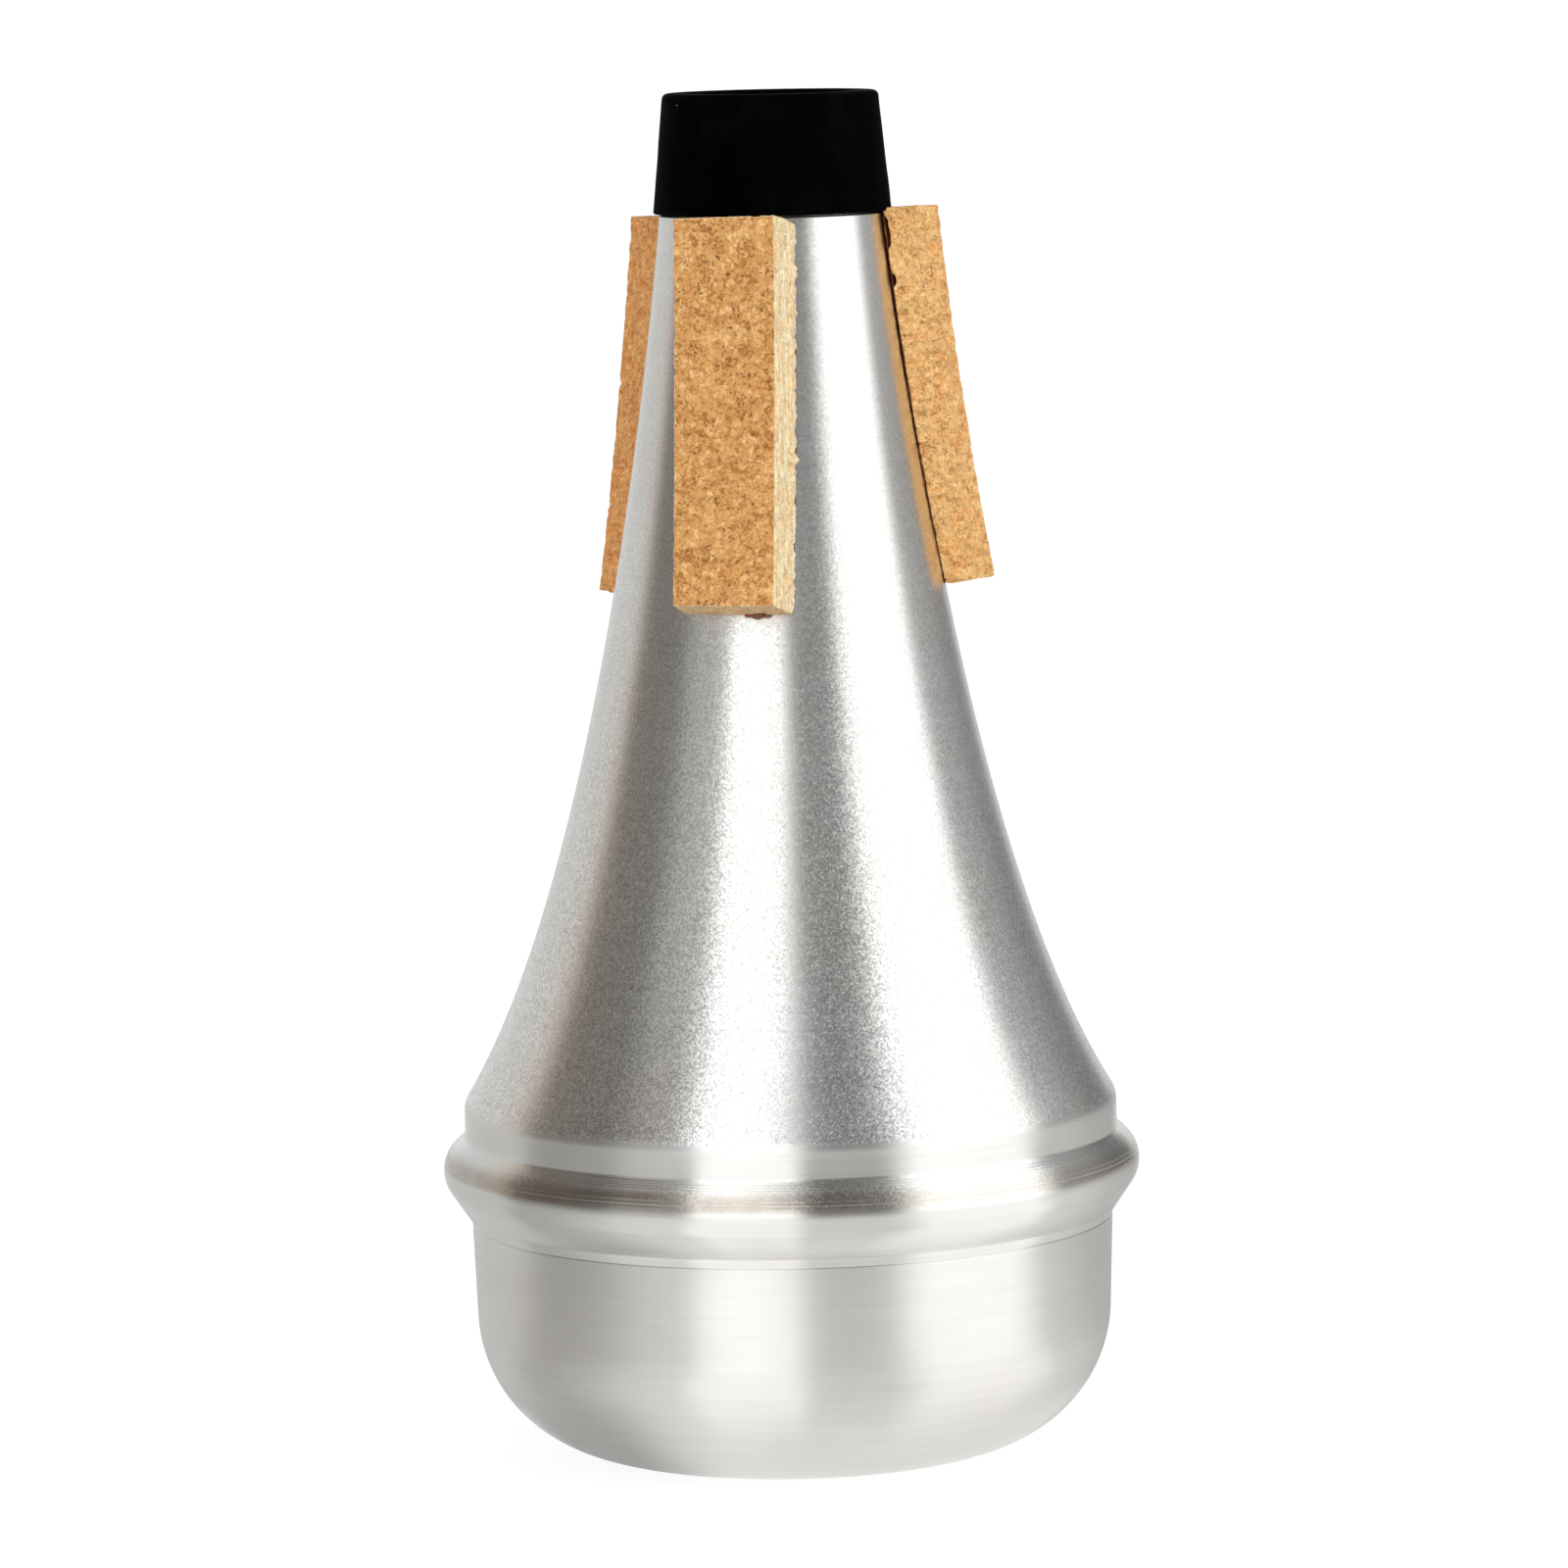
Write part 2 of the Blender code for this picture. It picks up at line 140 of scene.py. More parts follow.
class MuteTipSizes(bpy.types.PropertyGroup):
    """Rubber sleeve on the small end."""
    wall: length("Wall", 0.00115, "Thickness of the sleeve")
    foot_radius: length("Foot radius", TIP_HIGH.x, "Outer radius at the sleeve's lower edge")
    taper: angle("Taper", 5.45, "Taper of the sleeve")
    edge_radius: length("Edge radius", 0.0008, "Roundness of the upper edge")
    lip: length("Lip", 0.0018, "Thickness of the lip over the neck's rim")
    mouth_radius: length("Mouth radius", 0.0108, "Radius of the open mouth")
    mouth_edge: length("Mouth edge", 0.0005, "Roundness of the mouth's edge")
    rubber: colour("Rubber", (0.0004, 0.0003, 0.0004), "Colour of the rubber")
    roughness: share("Roughness", 0.72, "Roughness of the rubber")


class MuteCorkSizes(bpy.types.PropertyGroup):
    """Cork strips and the adhesive behind them."""
    thickness: length("Thickness", 0.00552, "Thickness of the strips")
    width: length("Width", 0.0133, "Width of a strip's face")
    side_angle: angle("Side angle", 7.2, "Lean of the sides, which widens the strip behind")
    glue_line: length("Glue line", 0.00018, "Thickness of the adhesive behind a strip")
    mesh_step: length("Mesh step", 0.00021, "Size of the mesh's faces")
    granule: length("Granule", 0.0010, "Size of a granule of cork")
    pressed: colour("Pressed face", (0.70, 0.352, 0.117), "Colour of the pressed granules")
    pale: colour("Pale granules", (0.87, 0.535, 0.23), "Colour of the palest granules")
    dark: colour("Dark granules", (0.44, 0.18, 0.048), "Colour of the darkest granules")
    fleck: colour("Flecks", (0.17, 0.055, 0.015), "Colour of the dark flecks of bark")
    adhesive: colour("Adhesive", (0.16, 0.058, 0.024), "Colour of the dried adhesive")


class MuteStageSizes(bpy.types.PropertyGroup):
    """Camera, floor and studio light."""
    camera_distance: length("Camera distance", 1.0, "Distance from the camera to the axis")
    camera_height: length("Camera height", 0.2, "Height of the camera")
    camera_tilt: angle("Tilt", 6.50, "How far the camera looks down")
    camera_roll: angle("Roll", 1.16, "How far the camera is rolled")
    camera_lens: FloatProperty(name="Lens", description="Focal length in millimetres", default=179.35)
    floor_radius: length("Floor radius", 40.0, "Radius of the pale floor")
    fill_power: FloatProperty(name="Fill lamp", description="Power of the front fill lamp in watts",
                              default=13.0)
    dim: FloatProperty(name="Dim studio", description="Light from the dim parts of the studio",
                       default=0.19)


# Outlines that are drawn in the XZ plane and spun round Z

class Outline:
    """A line drawn vertex by vertex in the XZ plane, where X is the radius."""

    def __init__(self, r, z):
        self.shape = bmesh.new()
        self.first = self.shape.verts.new((r, 0.0, z))
        self.last = self.first

    def line(self, r, z):
        """Straight on to a point."""
        self.last = bmesh.ops.extrude_vert_indiv(self.shape, verts=[self.last])["verts"][0]
        self.last.co = (r, 0.0, z)

    def arc(self, centre, degrees, steps):
        """On round a centre. Positive degrees turn from +X up to +Z."""
        spun = bmesh.ops.spin(self.shape, geom=[self.last], cent=(centre[0], 0.0, centre[1]),
                              axis=(0.0, -1.0, 0.0), angle=math.radians(degrees), steps=steps)
        self.last = spun["geom_last"][0]

    def scored_arc(self, centre, radius, start, end, scores, width, depth, steps_per_degree):
        """On round a centre between two angles in degrees, with fine lines cut into it."""
        turn = 1 if end > start else -1
        half = math.degrees(width / radius) / 2
        here = start
        for score in scores:
            stop = score - turn * half
            self.arc(centre, stop - here, max(1, round(abs(stop - here) * steps_per_degree)))
            self.line(*on_circle(centre, radius - depth, score))
            self.line(*on_circle(centre, radius, score + turn * half))
            here = score + turn * half
        self.arc(centre, end - here, max(1, round(abs(end - here) * steps_per_degree)))

    def curve(self, out_handle, in_handle, end, steps):
        """On along a Bezier curve."""
        start = Vector((self.last.co.x, self.last.co.z))
        for point in interpolate_bezier(start, out_handle, in_handle, end, steps + 1)[1:]:
            self.line(*point)

    def spun(self, steps, closed=True):
        """The line spun round Z into a wall whose faces point outwards."""
        if closed:
            self.shape.edges.new((self.last, self.first))
        line = self.shape.verts[:] + self.shape.edges[:]
        bmesh.ops.spin(self.shape, geom=line, cent=(0.0, 0.0, 0.0), axis=(0.0, 0.0, 1.0),
                       angle=math.tau, steps=steps, use_merge=True)
        bmesh.ops.remove_doubles(self.shape, verts=self.shape.verts, dist=WELD)
        bmesh.ops.recalc_face_normals(self.shape, faces=self.shape.faces)
        return self.shape


def on_circle(centre, radius, degrees):
    """Point of a circle in the XZ plane. 0 degrees points outwards and 90 up."""
    turned = math.radians(degrees)
    return (centre[0] + radius * math.cos(turned), centre[1] + radius * math.sin(turned))


def bead_nose(body):
    """Middle of the bead's round nose."""
    nose_r = body.bead_radius - body.nose_radius
    reach = nose_r + body.nose_radius * math.cos(body.underside) - body.wall_radius
    rise = reach / math.tan(body.underside) + body.nose_radius * math.sin(body.underside)
    return (nose_r, body.seam_height + body.lip_height + rise)


def under_nose(body, radius, reach):
    """Where the straight underside of a curl about the nose comes down to a radius."""
    start = on_circle(bead_nose(body), radius, -math.degrees(body.underside))
    return (reach, start[1] - (start[0] - reach) / math.tan(body.underside))


def crease(body):
    """Middle of the hollow between bead and band, and the angle at which it meets the nose."""
    nose = bead_nose(body)
    reach = body.nose_radius + body.crease_radius
    turned = math.degrees(math.acos((body.band_radius + body.crease_radius - nose[0]) / reach))
    return on_circle(nose, reach, turned), turned


def flare_knots(body):
    """The flare's curve: its foot, the two handles and its top."""
    centre, turned = crease(body)
    shoulder = (body.band_radius - body.shoulder_radius, centre[1] + body.band_height)
    foot = Vector(on_circle(shoulder, body.shoulder_radius, math.degrees(body.flare_foot_angle)))
    top = Vector((body.flare_top_radius, body.flare_top))
    foot_handle = foot + body.flare_foot_reach * Vector((-math.sin(body.flare_foot_angle),
                                                         math.cos(body.flare_foot_angle)))
    top_handle = top + body.flare_top_reach * Vector((math.sin(body.flare_top_angle),
                                                      -math.cos(body.flare_top_angle)))
    return foot, foot_handle, top_handle, top


class Flare:
    """The flare's outer line, measured down from its top, which the corks and the glue follow."""

    def __init__(self, body):
        self.points = interpolate_bezier(*flare_knots(body), FLARE_SAMPLES)[::-1]
        self.lengths = [0.0]
        for before, after in zip(self.points, self.points[1:]):
            self.lengths.append(self.lengths[-1] + (after - before).length)

    def place(self, run, offset):
        """Radius and height at a run down the flare, and at a distance outwards from its face."""
        i = min(max(bisect.bisect_right(self.lengths, run), 1), len(self.points) - 1)
        along = (self.points[i] - self.points[i - 1]).normalized()
        here = self.points[i - 1] + along * (run - self.lengths[i - 1])
        return here + Vector((-along.y, along.x)) * offset


# Shader helpers

def feed(tree, node, feeds):
    """Gives inputs of a node what they take: a socket is linked, and a plain value is set."""
    for socket, value in feeds.items():
        if isinstance(value, bpy.types.NodeSocket):
            tree.links.new(value, node.inputs[socket])
        else:
            node.inputs[socket].default_value = value


def put(tree, kind, feeds=None, **settings):
    """Adds a node. Its feeds are sockets that are linked, or plain values."""
    node = tree.nodes.new("ShaderNode" + kind)
    for name, value in settings.items():
        setattr(node, name, value)
    feed(tree, node, feeds or {})
    return node


def maths(tree, operation, *values):
    """Output of a Math node."""
    return put(tree, "Math", dict(enumerate(values)), operation=operation).outputs[0]


def vectors(tree, operation, *values):
    """Output of a Vector Math node."""
    return put(tree, "VectorMath", dict(enumerate(values)), operation=operation).outputs[0]


def blend(tree, factor, a, b, mode="MIX"):
    """Output of a colour mix."""
    feeds = {0: factor, 6: a, 7: b}
    return put(tree, "Mix", feeds, data_type="RGBA", blend_type=mode).outputs[2]


def tinted_by(tree, colour, tint):
    """Colour multiplied by a tint."""
    return blend(tree, 1.0, colour, tint, "MULTIPLY")


def grey(tree, brightness):
    """Grey of a brightness."""
    return put(tree, "CombineColor", {0: brightness, 1: brightness, 2: brightness}).outputs[0]


def split_colour(tree, colour):
    """The red, green and blue of a colour."""
    return put(tree, "SeparateColor", {0: colour}).outputs


def ease(tree, value, low, high, to_low=0.0, to_high=1.0):
    """Output of a smooth step between two values."""
    feeds = {"Value": value, "From Min": low, "From Max": high, "To Min": to_low, "To Max": to_high}
    return put(tree, "MapRange", feeds, interpolation_type="SMOOTHSTEP").outputs[0]


def rgba(rgb):
    """Colour with full alpha."""
    return (*rgb, 1.0)


def stretched(tree, across, up):
    """Object coordinates, scaled by numbers per metre across the axis and along it."""
    place = put(tree, "TexCoord").outputs["Object"]
    scale = put(tree, "CombineXYZ", {"X": across, "Y": across, "Z": up}).outputs[0]
    return vectors(tree, "MULTIPLY", place, scale)


def clouds(tree, place, scale=1.0, detail=2.0, roughness=0.5):
    """Outputs of a Noise Texture: a value about a half, and a colour."""
    feeds = {"Vector": place, "Scale": scale, "Detail": detail, "Roughness": roughness}
    return put(tree, "TexNoise", feeds).outputs


def cell_pattern(tree, place, scale=1.0, **settings):
    """Outputs of a Voronoi Texture: each cell's colour, and the distance to it."""
    return put(tree, "TexVoronoi", {"Vector": place, "Scale": scale}, **settings).outputs


def new_group(name, inputs, outputs):
    """Empty shader group with named sockets, and its two end nodes."""
    tree = bpy.data.node_groups.new(name, "ShaderNodeTree")
    for title, kind, default in inputs:
        socket = tree.interface.new_socket(title, in_out="INPUT", socket_type="NodeSocket" + kind)
        if default is not None:
            socket.default_value = default
    for title, kind in outputs:
        tree.interface.new_socket(title, in_out="OUTPUT", socket_type="NodeSocket" + kind)
    return tree, tree.nodes.new("NodeGroupInput"), tree.nodes.new("NodeGroupOutput")


def use_group(tree, name, **feeds):
    """Places a group in a material. Feeds name its inputs, with _ for a space."""
    node = tree.nodes.new("ShaderNodeGroup")
    node.node_tree = bpy.data.node_groups[name]
    feed(tree, node, {title.replace("_", " "): value for title, value in feeds.items()})
    return node.outputs


def new_material(name, roughness, metallic=0.0):
    """Material with a Principled shader, which is returned with its tree."""
    material = bpy.data.materials.new(name)
    material.use_nodes = True
    tree = material.node_tree
    shader = tree.nodes["Principled BSDF"]
    shader.inputs["Roughness"].default_value = roughness
    shader.inputs["Metallic"].default_value = metallic
    return material, tree, shader


# Effects that several materials share

def make_lathe_lines():
    """Fine rings left by the lathe's tool and by brushing, each fading in and out round the axis."""
    tree, given, out = new_group(
        "Lathe lines",
        [("Lines", "Float", 6000.0), ("Runs", "Float", 30.0)],
        [("Height", "Float"), ("Streak", "Float")])
    lines, runs = given.outputs["Lines"], given.outputs["Runs"]
    fine = clouds(tree, stretched(tree, runs, lines), detail=2.0, roughness=0.6)[0]
    wide_lines = maths(tree, "DIVIDE", lines, 5.0)
    wide_runs = maths(tree, "DIVIDE", runs, 2.0)
    wide = clouds(tree, stretched(tree, wide_runs, wide_lines), detail=3.0, roughness=0.55)[0]
    feed(tree, out, {"Height": maths(tree, "MULTIPLY_ADD", wide, 0.6, fine), "Streak": wide})


def make_metal_grain():
    """Facets of the metal's coarse grain: each is tilted a little and shaded, and a share is matt."""
    tree, given, out = new_group(
        "Metal grain",
        [("Grains", "Float", 4500.0), ("Tilt", "Float", 0.1)],
        [("Normal", "Vector"), ("Cell", "Float"), ("Matt", "Float")])
    upright = maths(tree, "MULTIPLY", given.outputs["Grains"], 0.75)
    cells = cell_pattern(tree, stretched(tree, given.outputs["Grains"], upright))["Color"]
    centred = vectors(tree, "SUBTRACT", cells, HALF)
    tilt = put(tree, "VectorMath", {0: centred, "Scale": given.outputs["Tilt"]}, operation="SCALE").outputs[0]
    facing = put(tree, "NewGeometry").outputs["Normal"]
    normal = vectors(tree, "NORMALIZE", vectors(tree, "ADD", facing, tilt))
    shades = split_colour(tree, cells)
    matt = maths(tree, "GREATER_THAN", shades[1], 0.74)
    feed(tree, out, {"Normal": normal, "Cell": shades[0], "Matt": matt})


def make_dust():
    """Scattered specks: a mask of small dots, each on its own cell of a Voronoi pattern."""
    tree, given, out = new_group(
        "Dust specks",
        [("Cells", "Float", 300.0), ("Size", "Float", 0.1), ("Amount", "Float", 0.05)],
        [("Mask", "Float")])
    number = given.outputs["Cells"]
    cells = cell_pattern(tree, stretched(tree, number, number))
    near = maths(tree, "LESS_THAN", cells["Distance"], given.outputs["Size"])
    chosen = maths(tree, "LESS_THAN", split_colour(tree, cells["Color"])[0], given.outputs["Amount"])
    feed(tree, out, {"Mask": maths(tree, "MULTIPLY", near, chosen)})


def make_smudges():
    """Broad soft patches of handling, as a value about a half."""
    tree, given, out = new_group("Smudges", [("Patches", "Float", 40.0)], [("Value", "Float")])
    patches = given.outputs["Patches"]
    feed(tree, out, {"Value": clouds(tree, stretched(tree, patches, patches), detail=4.0, roughness=0.6)[0]})


def make_cork_grain():
    """Pressed granules of cork: their colours, the dark flecks between them and their relief."""
    tree, given, out = new_group(
        "Cork granules",
        [("Granules", "Float", 770.0), ("Pressed", "Color", None), ("Pale", "Color", None),
         ("Dark", "Color", None), ("Fleck", "Color", None), ("Flecks", "Float", 0.5)],
        [("Color", "Color"), ("Height", "Float")])
    size = given.outputs["Granules"]
    place = stretched(tree, size, size)
    bend = vectors(tree, "SUBTRACT", clouds(tree, place, 1.3)["Color"], HALF)
    place = vectors(tree, "MULTIPLY_ADD", bend, (0.9, 0.9, 0.9), place)
    coarse = cell_pattern(tree, place, 0.8)["Color"]
    coarse_edge = cell_pattern(tree, place, 0.8, feature="DISTANCE_TO_EDGE")["Distance"]
    fine = cell_pattern(tree, place, 2.1)["Color"]
    coarse_shade = split_colour(tree, coarse)[0]
    fine_shade = split_colour(tree, fine)[1]
    mottle = clouds(tree, place, 1.1, detail=5.0, roughness=0.7)[0]
    tone = maths(tree, "MULTIPLY_ADD", coarse_shade, 0.36, maths(tree, "MULTIPLY", fine_shade, 0.46))
    tone = maths(tree, "MULTIPLY_ADD", mottle, 0.8, maths(tree, "SUBTRACT", tone, 0.31))
    paler = blend(tree, ease(tree, tone, 0.52, 0.85), given.outputs["Pressed"], given.outputs["Pale"])
    base = blend(tree, ease(tree, tone, 0.45, 0.15), paler, given.outputs["Dark"])
    seams = ease(tree, coarse_edge, 0.07, 0.0)
    base = blend(tree, maths(tree, "MULTIPLY", seams, 0.22), base, given.outputs["Dark"])
    bark = clouds(tree, place, 2.2, detail=3.0, roughness=0.75)[0]
    gate = clouds(tree, place, 0.45, detail=1.0)[0]
    level = maths(tree, "MULTIPLY_ADD", gate, 0.25, maths(tree, "MULTIPLY", bark, 0.9))
    flecks = ease(tree, level, 0.665, 0.70)
    flecks = maths(tree, "MULTIPLY", flecks, given.outputs["Flecks"])
    flecked = blend(tree, flecks, base, given.outputs["Fleck"])
    height = maths(tree, "MULTIPLY_ADD", mottle, 0.8, maths(tree, "MULTIPLY", fine_shade, 0.25))
    height = maths(tree, "SUBTRACT", height, maths(tree, "MULTIPLY", seams, 0.3))
    height = maths(tree, "SUBTRACT", height, maths(tree, "MULTIPLY", flecks, 0.5))
    feed(tree, out, {"Color": flecked, "Height": height})


def make_soft_box():
    """One soft box of the studio, as light by azimuth: full inside its width, soft at its edges."""
    tree, given, out = new_group(
        "Soft box",
        [("Azimuth", "Float", 0.0), ("Middle", "Float", 0.0), ("Width", "Float", 30.0),
         ("Soft edge", "Float", 5.0), ("Light", "Float", 1.0)],
        [("Light", "Float")])
    off = maths(tree, "SUBTRACT", given.outputs["Azimuth"], given.outputs["Middle"])
    off = maths(tree, "ABSOLUTE", maths(tree, "WRAP", off, 180.0, -180.0))
    edge = maths(tree, "MULTIPLY", given.outputs["Width"], 0.5)
    inner = maths(tree, "SUBTRACT", edge, given.outputs["Soft edge"])
    outer = maths(tree, "ADD", edge, given.outputs["Soft edge"])
    lit = ease(tree, off, inner, outer, 1.0, 0.0)
    feed(tree, out, {"Light": maths(tree, "MULTIPLY", lit, given.outputs["Light"])})


def soft_box(tree, azimuth, middle, width, soft_edge, light):
    """Light of one soft box at an azimuth."""
    return use_group(tree, "Soft box", Azimuth=azimuth, Middle=middle, Width=width,
                     Soft_edge=soft_edge, Light=light)["Light"]


# Middle, width, soft edge and light of each soft box, in degrees of azimuth round the mute. WARM is
# where the light is warmer, HIGH_ are shades high in the studio, and FLOOR_ what is mirrored of the floor
SOFT_BOXES = (
    (-15.5, 36.0, 4.0, 1.50),
    (65.5, 55.0, 8.0, 1.50),
    (-48.0, 28.0, 7.0, 0.29),
    (-132.0, 50.0, 7.0, 0.50),
    (107.0, 34.0, 16.0, 0.18),
    (14.0, 30.0, 10.0, 0.05),
    (180.0, 46.0, 8.0, 0.66),
)
WARM = (-97.0, 42.0, 12.0, 1.0)
HIGH_RIGHT = (6.0, 30.0, 7.0, 0.36)
HIGH_LEFT = (-60.0, 38.0, 8.0, 0.50)
HIGH_SIDE = (124.0, 52.0, 12.0, 0.60)
FLOOR_FRONT = (22.0, 184.0, 26.0, 0.28)
FLOOR_SHADE = (-118.0, 112.0, 34.0, 0.49)
FLOOR_SIDE = (125.0, 44.0, 14.0, 0.16)


def make_studio():
    """Light that reaches the mute from round about, by azimuth in degrees."""
    tree, given, out = new_group("Studio", [("Azimuth", "Float", 0.0), ("Dim", "Float", 0.2)],
                                 [("Light", "Float"), ("Warmth", "Float")])
    azimuth = given.outputs["Azimuth"]
    total = given.outputs["Dim"]
    for box in SOFT_BOXES:
        total = maths(tree, "ADD", total, soft_box(tree, azimuth, *box))
    feed(tree, out, {"Light": total, "Warmth": soft_box(tree, azimuth, *WARM)})


# Materials

def zone(tree, height, line, rise, fall, most=1.0):
    """Mask of a zone below a line. Rise and fall are how far below it the mask fades in and out."""
    fade_in = ease(tree, height, line - rise[0], line - rise[1], 0.0, most)
    return maths(tree, "MULTIPLY", fade_in, ease(tree, height, line - fall[0], line - fall[1]))


def metal_material(name, colour, roughness, runs, grain_low=None):
    """Aluminium brushed round the axis. Above grain_low, the sheet's coarse grain sparkles."""
    material, tree, shader = new_material(name, roughness, metallic=1.0)
    shader.inputs["Anisotropic"].default_value = 0.75
    shader.inputs["Anisotropic Rotation"].default_value = 0.25
    tangent = put(tree, "Tangent", direction_type="RADIAL", axis="Z").outputs[0]

    rings = use_group(tree, "Lathe lines", Lines=8000.0, Runs=runs)
    smudge = use_group(tree, "Smudges", Patches=45.0)["Value"]
    # patches of wear that vary the roughness, and that also place painted shade on the bead's left side
    wear_and_shade_patches = use_group(tree, "Smudges", Patches=260.0)["Value"]
    tinted = blend(tree, ease(tree, smudge, 0.35, 0.65), rgba(colour),
                   rgba((colour[0] * 0.965, colour[1] * 0.95, colour[2] * 0.935)))
    streaks = ease(tree, rings["Streak"], 0.3, 0.7, 0.972, 1.012)
    tinted = tinted_by(tree, tinted, grey(tree, streaks))
    rough = maths(tree, "MULTIPLY_ADD", maths(tree, "SUBTRACT", wear_and_shade_patches, 0.5), 0.05, roughness)
    rough = maths(tree, "MULTIPLY_ADD", maths(tree, "SUBTRACT", rings["Streak"], 0.5), 0.03, rough)
    pits = use_group(tree, "Dust specks", Cells=230.0, Size=0.035, Amount=0.10)["Mask"]
    tinted = blend(tree, maths(tree, "MULTIPLY", pits, 0.35), tinted, rgba((0.30, 0.27, 0.24)))
    bump = put(tree, "Bump", {"Strength": 1.0, "Distance": 0.000001, "Height": rings["Height"]})
    if grain_low is not None:
        place = put(tree, "TexCoord").outputs["Object"]
        across, _, height = put(tree, "SeparateXYZ", {0: place}).outputs
        on_bead = zone(tree, height, grain_low, (0.0088, 0.0070), (0.0034, 0.0056), 0.8)
        fading = ease(tree, height, 0.155, 0.06, 0.35, 1.0)
        on_flare = maths(tree, "MULTIPLY", maths(tree, "GREATER_THAN", height, grain_low), fading)
        strength = maths(tree, "MAXIMUM", on_flare, on_bead)
        grain = use_group(tree, "Metal grain", Grains=5600.0, Tilt=maths(tree, "MULTIPLY", strength, 0.034))
        feed(tree, bump, {"Normal": grain["Normal"]})
        sparkle = grey(tree, ease(tree, grain["Cell"], 0.1, 0.9, 0.82, 1.27))
        tinted = blend(tree, on_flare, tinted, tinted_by(tree, tinted, sparkle))
        # brownish stain in the hollow below the crease: partly real staining, partly painted shade that
        # darkens what the bead mirrors there
        stain_and_shade_zone = zone(tree, height, grain_low, (0.0084, 0.0076), (0.0050, 0.0066))
        # painted shade: on the left side, in patches, the stain is darker still
        painted_left_shade = ease(tree, across, 0.018, -0.002)
        painted_left_shade = maths(tree, "MULTIPLY", painted_left_shade, ease(tree, wear_and_shade_patches, 0.3, 0.6, 0.6, 1.0))
        stain_and_painted_shade = blend(tree, painted_left_shade, rgba((0.86, 0.815, 0.775)), rgba((0.66, 0.61, 0.565)))
        tinted = blend(tree, stain_and_shade_zone, tinted, tinted_by(tree, tinted, stain_and_painted_shade))
        rough = maths(tree, "SUBTRACT", rough, ease(tree, height, grain_low, grain_low - 0.003, 0.0, 0.10))
        matt = maths(tree, "MULTIPLY", grain["Matt"], strength)
        rough = maths(tree, "MULTIPLY_ADD", matt, 0.13, rough)
    feed(tree, shader, {"Base Color": tinted, "Roughness": rough, "Normal": bump.outputs[0],
                        "Tangent": tangent})
    return material


def rubber_material(tip):
    """Dull black rubber with a fine skin, scuffs and a few light specks."""
    material, tree, shader = new_material("black_rubber_skin", tip.roughness)
    shader.inputs["Specular IOR Level"].default_value = 0.015
    scuff = use_group(tree, "Smudges", Patches=160.0)["Value"]
    skin = use_group(tree, "Smudges", Patches=5200.0)["Value"]
    base = blend(tree, ease(tree, scuff, 0.45, 0.8), rgba(tip.rubber), rgba((0.0026, 0.0023, 0.0025)))
    specks = use_group(tree, "Dust specks", Cells=330.0, Size=0.06, Amount=0.05)["Mask"]
    base = blend(tree, specks, base, rgba((0.30, 0.29, 0.27)))
    rough = maths(tree, "MULTIPLY_ADD", maths(tree, "SUBTRACT", scuff, 0.5), 0.25, tip.roughness)
    bump = put(tree, "Bump", {"Strength": 0.5, "Distance": 0.00003, "Height": skin}).outputs[0]
    feed(tree, shader, {"Base Color": base, "Roughness": rough, "Normal": bump})
    return material


def cork_material(name, cork, cut_and_lit_colour, striped, streaks):
    """Pressed cork, with the paler look of the knife's cut on its sides and ends, partly the cut's real
    colour and partly painted light.
    """
    material, tree, shader = new_material(name, 0.9)
    shader.inputs["Specular IOR Level"].default_value = 0.25
    granules = 1.2 / cork.granule
    face = use_group(tree, "Cork granules", Granules=granules, Pressed=rgba(cork.pressed),
                     Pale=rgba(cork.pale), Dark=rgba(cork.dark), Fleck=rgba(cork.fleck), Flecks=0.85)
    cut_pale = [min(1.0, c * 1.28 + 0.07) for c in cut_and_lit_colour]
    cut_dark = [c * kept for c, kept in zip(cut_and_lit_colour, (0.42, 0.28, 0.18))]
    side = use_group(tree, "Cork granules", Granules=granules * 1.5, Pressed=rgba(cut_and_lit_colour),
                     Pale=rgba(cut_pale), Dark=rgba(cut_dark), Fleck=rgba(cork.fleck), Flecks=0.95)
    stripes = ease(tree, clouds(tree, stretched(tree, *streaks), detail=3.0)[0], 0.38, 0.62)
    sawn = blend(tree, stripes, rgba(cut_dark), rgba(cut_pale))
    sawn = blend(tree, 0.42, rgba(cut_and_lit_colour), sawn)
    sides = blend(tree, striped, side["Color"], sawn)
    ruddy = ease(tree, use_group(tree, "Smudges", Patches=650.0)["Value"], 0.48, 0.62, 0.0, 0.6)
    sides = blend(tree, ruddy, sides, tinted_by(tree, sides, rgba((1.0, 0.76, 0.56))))
    cut = put(tree, "Attribute", attribute_name="cut").outputs["Fac"]
    base = blend(tree, cut, face["Color"], sides)
    fuzz = use_group(tree, "Smudges", Patches=3800.0)["Value"]
    height = maths(tree, "ADD", face["Height"], maths(tree, "MULTIPLY", fuzz, 0.35))
    bump = put(tree, "Bump", {"Strength": 0.9, "Distance": 0.00016, "Height": height}).outputs[0]
    feed(tree, shader, {"Base Color": base, "Normal": bump})
    return material


def glue_material(cork):
    """Dried contact adhesive: dark brown, a little glossy and lumpy."""
    material, tree, shader = new_material("dried_adhesive", 0.42)
    lumps = use_group(tree, "Smudges", Patches=900.0)["Value"]
    thin = rgba([min(1.0, c * 2.4) for c in cork.adhesive])
    base = blend(tree, ease(tree, lumps, 0.4, 0.75), rgba(cork.adhesive), thin)
    rough = maths(tree, "MULTIPLY_ADD", lumps, 0.4, 0.25)
    bump = put(tree, "Bump", {"Strength": 0.6, "Distance": 0.0001, "Height": lumps}).outputs[0]
    feed(tree, shader, {"Base Color": base, "Roughness": rough, "Normal": bump})
    return material


# Pieces

